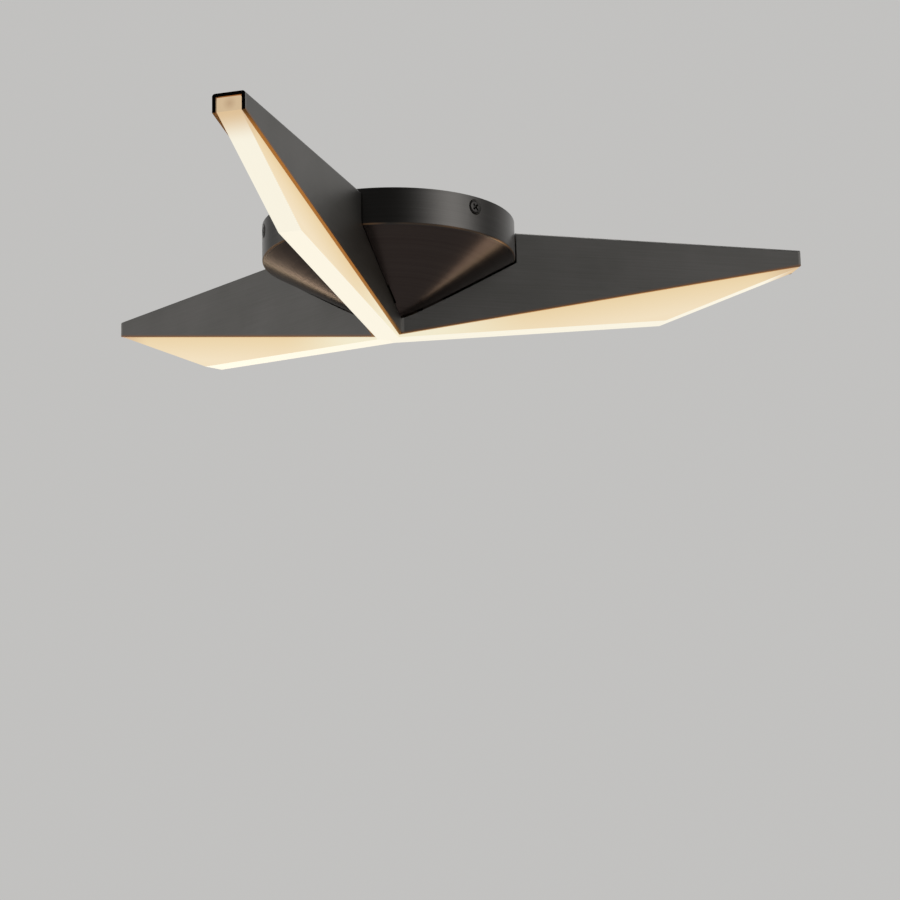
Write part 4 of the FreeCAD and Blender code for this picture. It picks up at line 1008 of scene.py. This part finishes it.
arm_places = [
    place for side in (-TAB_SCREW_SIDE, TAB_SCREW_SIDE)
    for place in round_the_arms(TAB_SCREW_REACH, side, HUB_TOP)
]
tray_places = round_the_arms(TRAY_SCREW_REACH, 0, HUB_TOP)
driver_places = [((DRIVER_SHIFT, side * DRIVER_SCREW_SIDE, DRIVER_EAR_TOP), (0, 0, 0)) for side in (-1, 1)]
ground_place = [((GROUND_SCREW_REACH, 0, BRACKET_UNDERSIDE), (math.pi, 0, 0))]
grow(
    "pan_screws_arms", pan_screw, arm_places,
    screw_sizes(diameter=4, head=8, height=2.6, length=8.2, pitch=0.7), zinc, "arm_screws",
)
grow(
    "pan_screws_trays", pan_screw, tray_places,
    screw_sizes(diameter=3, head=5.6, height=2.2, length=6.9, pitch=0.5), zinc, "tray_screws",
)
grow(
    "pan_screws_driver", pan_screw, driver_places,
    screw_sizes(diameter=3, head=5.6, height=2.2, length=8.5, pitch=0.5), zinc,
    "driver_screws",
)
grow(
    "earth_screw", pan_screw, ground_place,
    screw_sizes(diameter=4, head=8.5, height=3.4, length=1.7, pitch=0.7), green_zinc,
    "ground_screw",
)
for arm in ARMS:
    out = Matrix.Rotation(ARM_STEP * (arm - 0.5), 3, "Z")
    lie = out @ Matrix.Rotation(RIM_SCREW_CROSS, 3, "X") @ Matrix.Rotation(math.pi / 2, 3, "Y")
    place = out @ Vector((CANOPY_RADIUS - SEAT_HOLD, 0, -RIM_SCREW_DEPTH))
    grow(
        f"rim_screw_{arm}", rim_screw, [(place, lie.to_euler())],
        screw_sizes(diameter=4, head=7.6, height=1.4, length=9, pitch=0.7), black_oxide,
        f"canopy_screw_{arm}", body=f"canopy_screw_{arm}",
    )

# %% [markdown]
# A rivet holds the outer end of each tray to the channel's top. Its dome shows on the upper side of the
# arm, and its flat tail lies inside. The tree uses the screw's domed head again.

# %% Rivets
RIVET = {"Head Diameter": 5.2 * MM, "Head Height": 1.0 * MM, "Body Diameter": 3.0 * MM, "Grip": 3.5 * MM}
RIVET_SIDES = 24
RIVET_FALL = 0.7             # share of the head's height that its rim lacks
TOP_FALL = 2.2 * MM          # of an arm's upper face, from the canopy to the tip
RIVET_TILT = math.atan(TOP_FALL / (ARM_REACH - CANOPY_RADIUS))


def rivet_tree():
    """Domed rivet with a set tail."""
    tree, given = size_tree("domed_rivet", RIVET)
    head = domed_head(tree, given["Head Diameter"], given["Head Height"], RIVET_FALL)
    middle, tail_level = [
        add(tree, "ShaderNodeMath", {0: given[size], 1: -0.5}, operation="MULTIPLY").outputs[0]
        for size in ("Grip", "Head Height")
    ]
    tail_level = add(tree, "ShaderNodeMath", {
        0: tail_level, 1: given["Grip"],
    }, operation="SUBTRACT").outputs[0]
    solids = [head]
    for across, depth, level in (
        ("Body Diameter", "Grip", middle), ("Head Diameter", "Head Height", tail_level),
    ):
        radius = add(tree, "ShaderNodeMath", {0: given[across], 1: 0.5}, operation="MULTIPLY").outputs[0]
        rod = add(tree, "GeometryNodeMeshCylinder", {
            "Vertices": RIVET_SIDES, "Radius": radius, "Depth": given[depth],
        }).outputs["Mesh"]
        shift = add(tree, "ShaderNodeCombineXYZ", {2: level}).outputs[0]
        solids.append(add(tree, "GeometryNodeTransform", {"Geometry": rod, "Translation": shift}).outputs[0])
    rivet = add(tree, "GeometryNodeJoinGeometry", {0: solids}).outputs[0]
    repeat_on_places(tree, given, rivet)
    return tree


rivet_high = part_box("tray_rivets")[1]
rivet_places = round_the_arms(
    rivet_high.x - RIVET["Head Diameter"] / 2, 0, rivet_high.z - RIVET["Head Height"], RIVET_TILT,
)
bright_rivet = plated_steel("turned_aluminium", "#b9bbbd", "#dcdee0", gloss_loss=0.32)
grow("domed_rivets", rivet_tree(), rivet_places, RIVET, bright_rivet, "tray_rivets")

# %% [markdown]
# Three rubber bushes line the lead holes of the hub plate. A rounded section that is swept round a
# circle makes each of the two flanges and the neck between them.

# %% Bushes
BUSH = {
    "Bore": 2.1 * MM, "Neck": 6.3 * MM, "Flange": 8.4 * MM,
    "Lip": 1.0 * MM, "Plate": 2.0 * MM, "Rounding": 0.4 * MM,
}
BUSH_SIDES = 40
ROUNDING_STEPS = 4


def bush_tree():
    """Flanged rubber bush, with the plate that it sits in centred on height 0."""
    tree, given = size_tree("flanged_bush", BUSH)
    rings = []
    half_plate = add(tree, "ShaderNodeMath", {0: given["Plate"], 1: 0.5}, operation="MULTIPLY").outputs[0]
    off_plate = add(tree, "ShaderNodeMath", {
        0: given["Lip"], 1: 0.5, 2: half_plate,
    }, operation="MULTIPLY_ADD").outputs[0]
    for outside, height, side in (("Flange", "Lip", 1.0), ("Neck", "Plate", 0.0), ("Flange", "Lip", -1.0)):
        total = add(tree, "ShaderNodeMath", {0: given[outside], 1: given["Bore"]}).outputs[0]
        radius = add(tree, "ShaderNodeMath", {0: total, 1: 0.25}, operation="MULTIPLY").outputs[0]
        wall = add(tree, "ShaderNodeMath", {
            0: given[outside], 1: given["Bore"],
        }, operation="SUBTRACT").outputs[0]
        wall = add(tree, "ShaderNodeMath", {0: wall, 1: 0.5}, operation="MULTIPLY").outputs[0]
        level = add(tree, "ShaderNodeMath", {0: off_plate, 1: side}, operation="MULTIPLY").outputs[0]
        circle = add(tree, "GeometryNodeCurvePrimitiveCircle", {
            "Resolution": BUSH_SIDES, "Radius": radius,
        }).outputs[0]
        section = add(tree, "GeometryNodeCurvePrimitiveQuadrilateral", {
            "Width": wall, "Height": given[height],
        }).outputs[0]
        section = add(tree, "GeometryNodeFilletCurve", {
            "Curve": section, "Count": ROUNDING_STEPS, "Radius": given["Rounding"], "Limit Radius": True,
        }, mode="POLY").outputs[0]
        ring = add(tree, "GeometryNodeCurveToMesh", {"Curve": circle, "Profile Curve": section}).outputs[0]
        shift = add(tree, "ShaderNodeCombineXYZ", {2: level}).outputs[0]
        rings.append(add(tree, "GeometryNodeTransform", {"Geometry": ring, "Translation": shift}).outputs[0])
    bush = add(tree, "GeometryNodeJoinGeometry", {0: rings}).outputs[0]
    repeat_on_places(tree, given, bush)
    return tree


bush_low, bush_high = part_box("lead_grommets")
bush_places = round_the_arms(LEAD_HOLE_REACH * MM, 0, (bush_low.z + bush_high.z) / 2)
grow("rubber_bushes", bush_tree(), bush_places, BUSH, black_rubber, "lead_grommets")
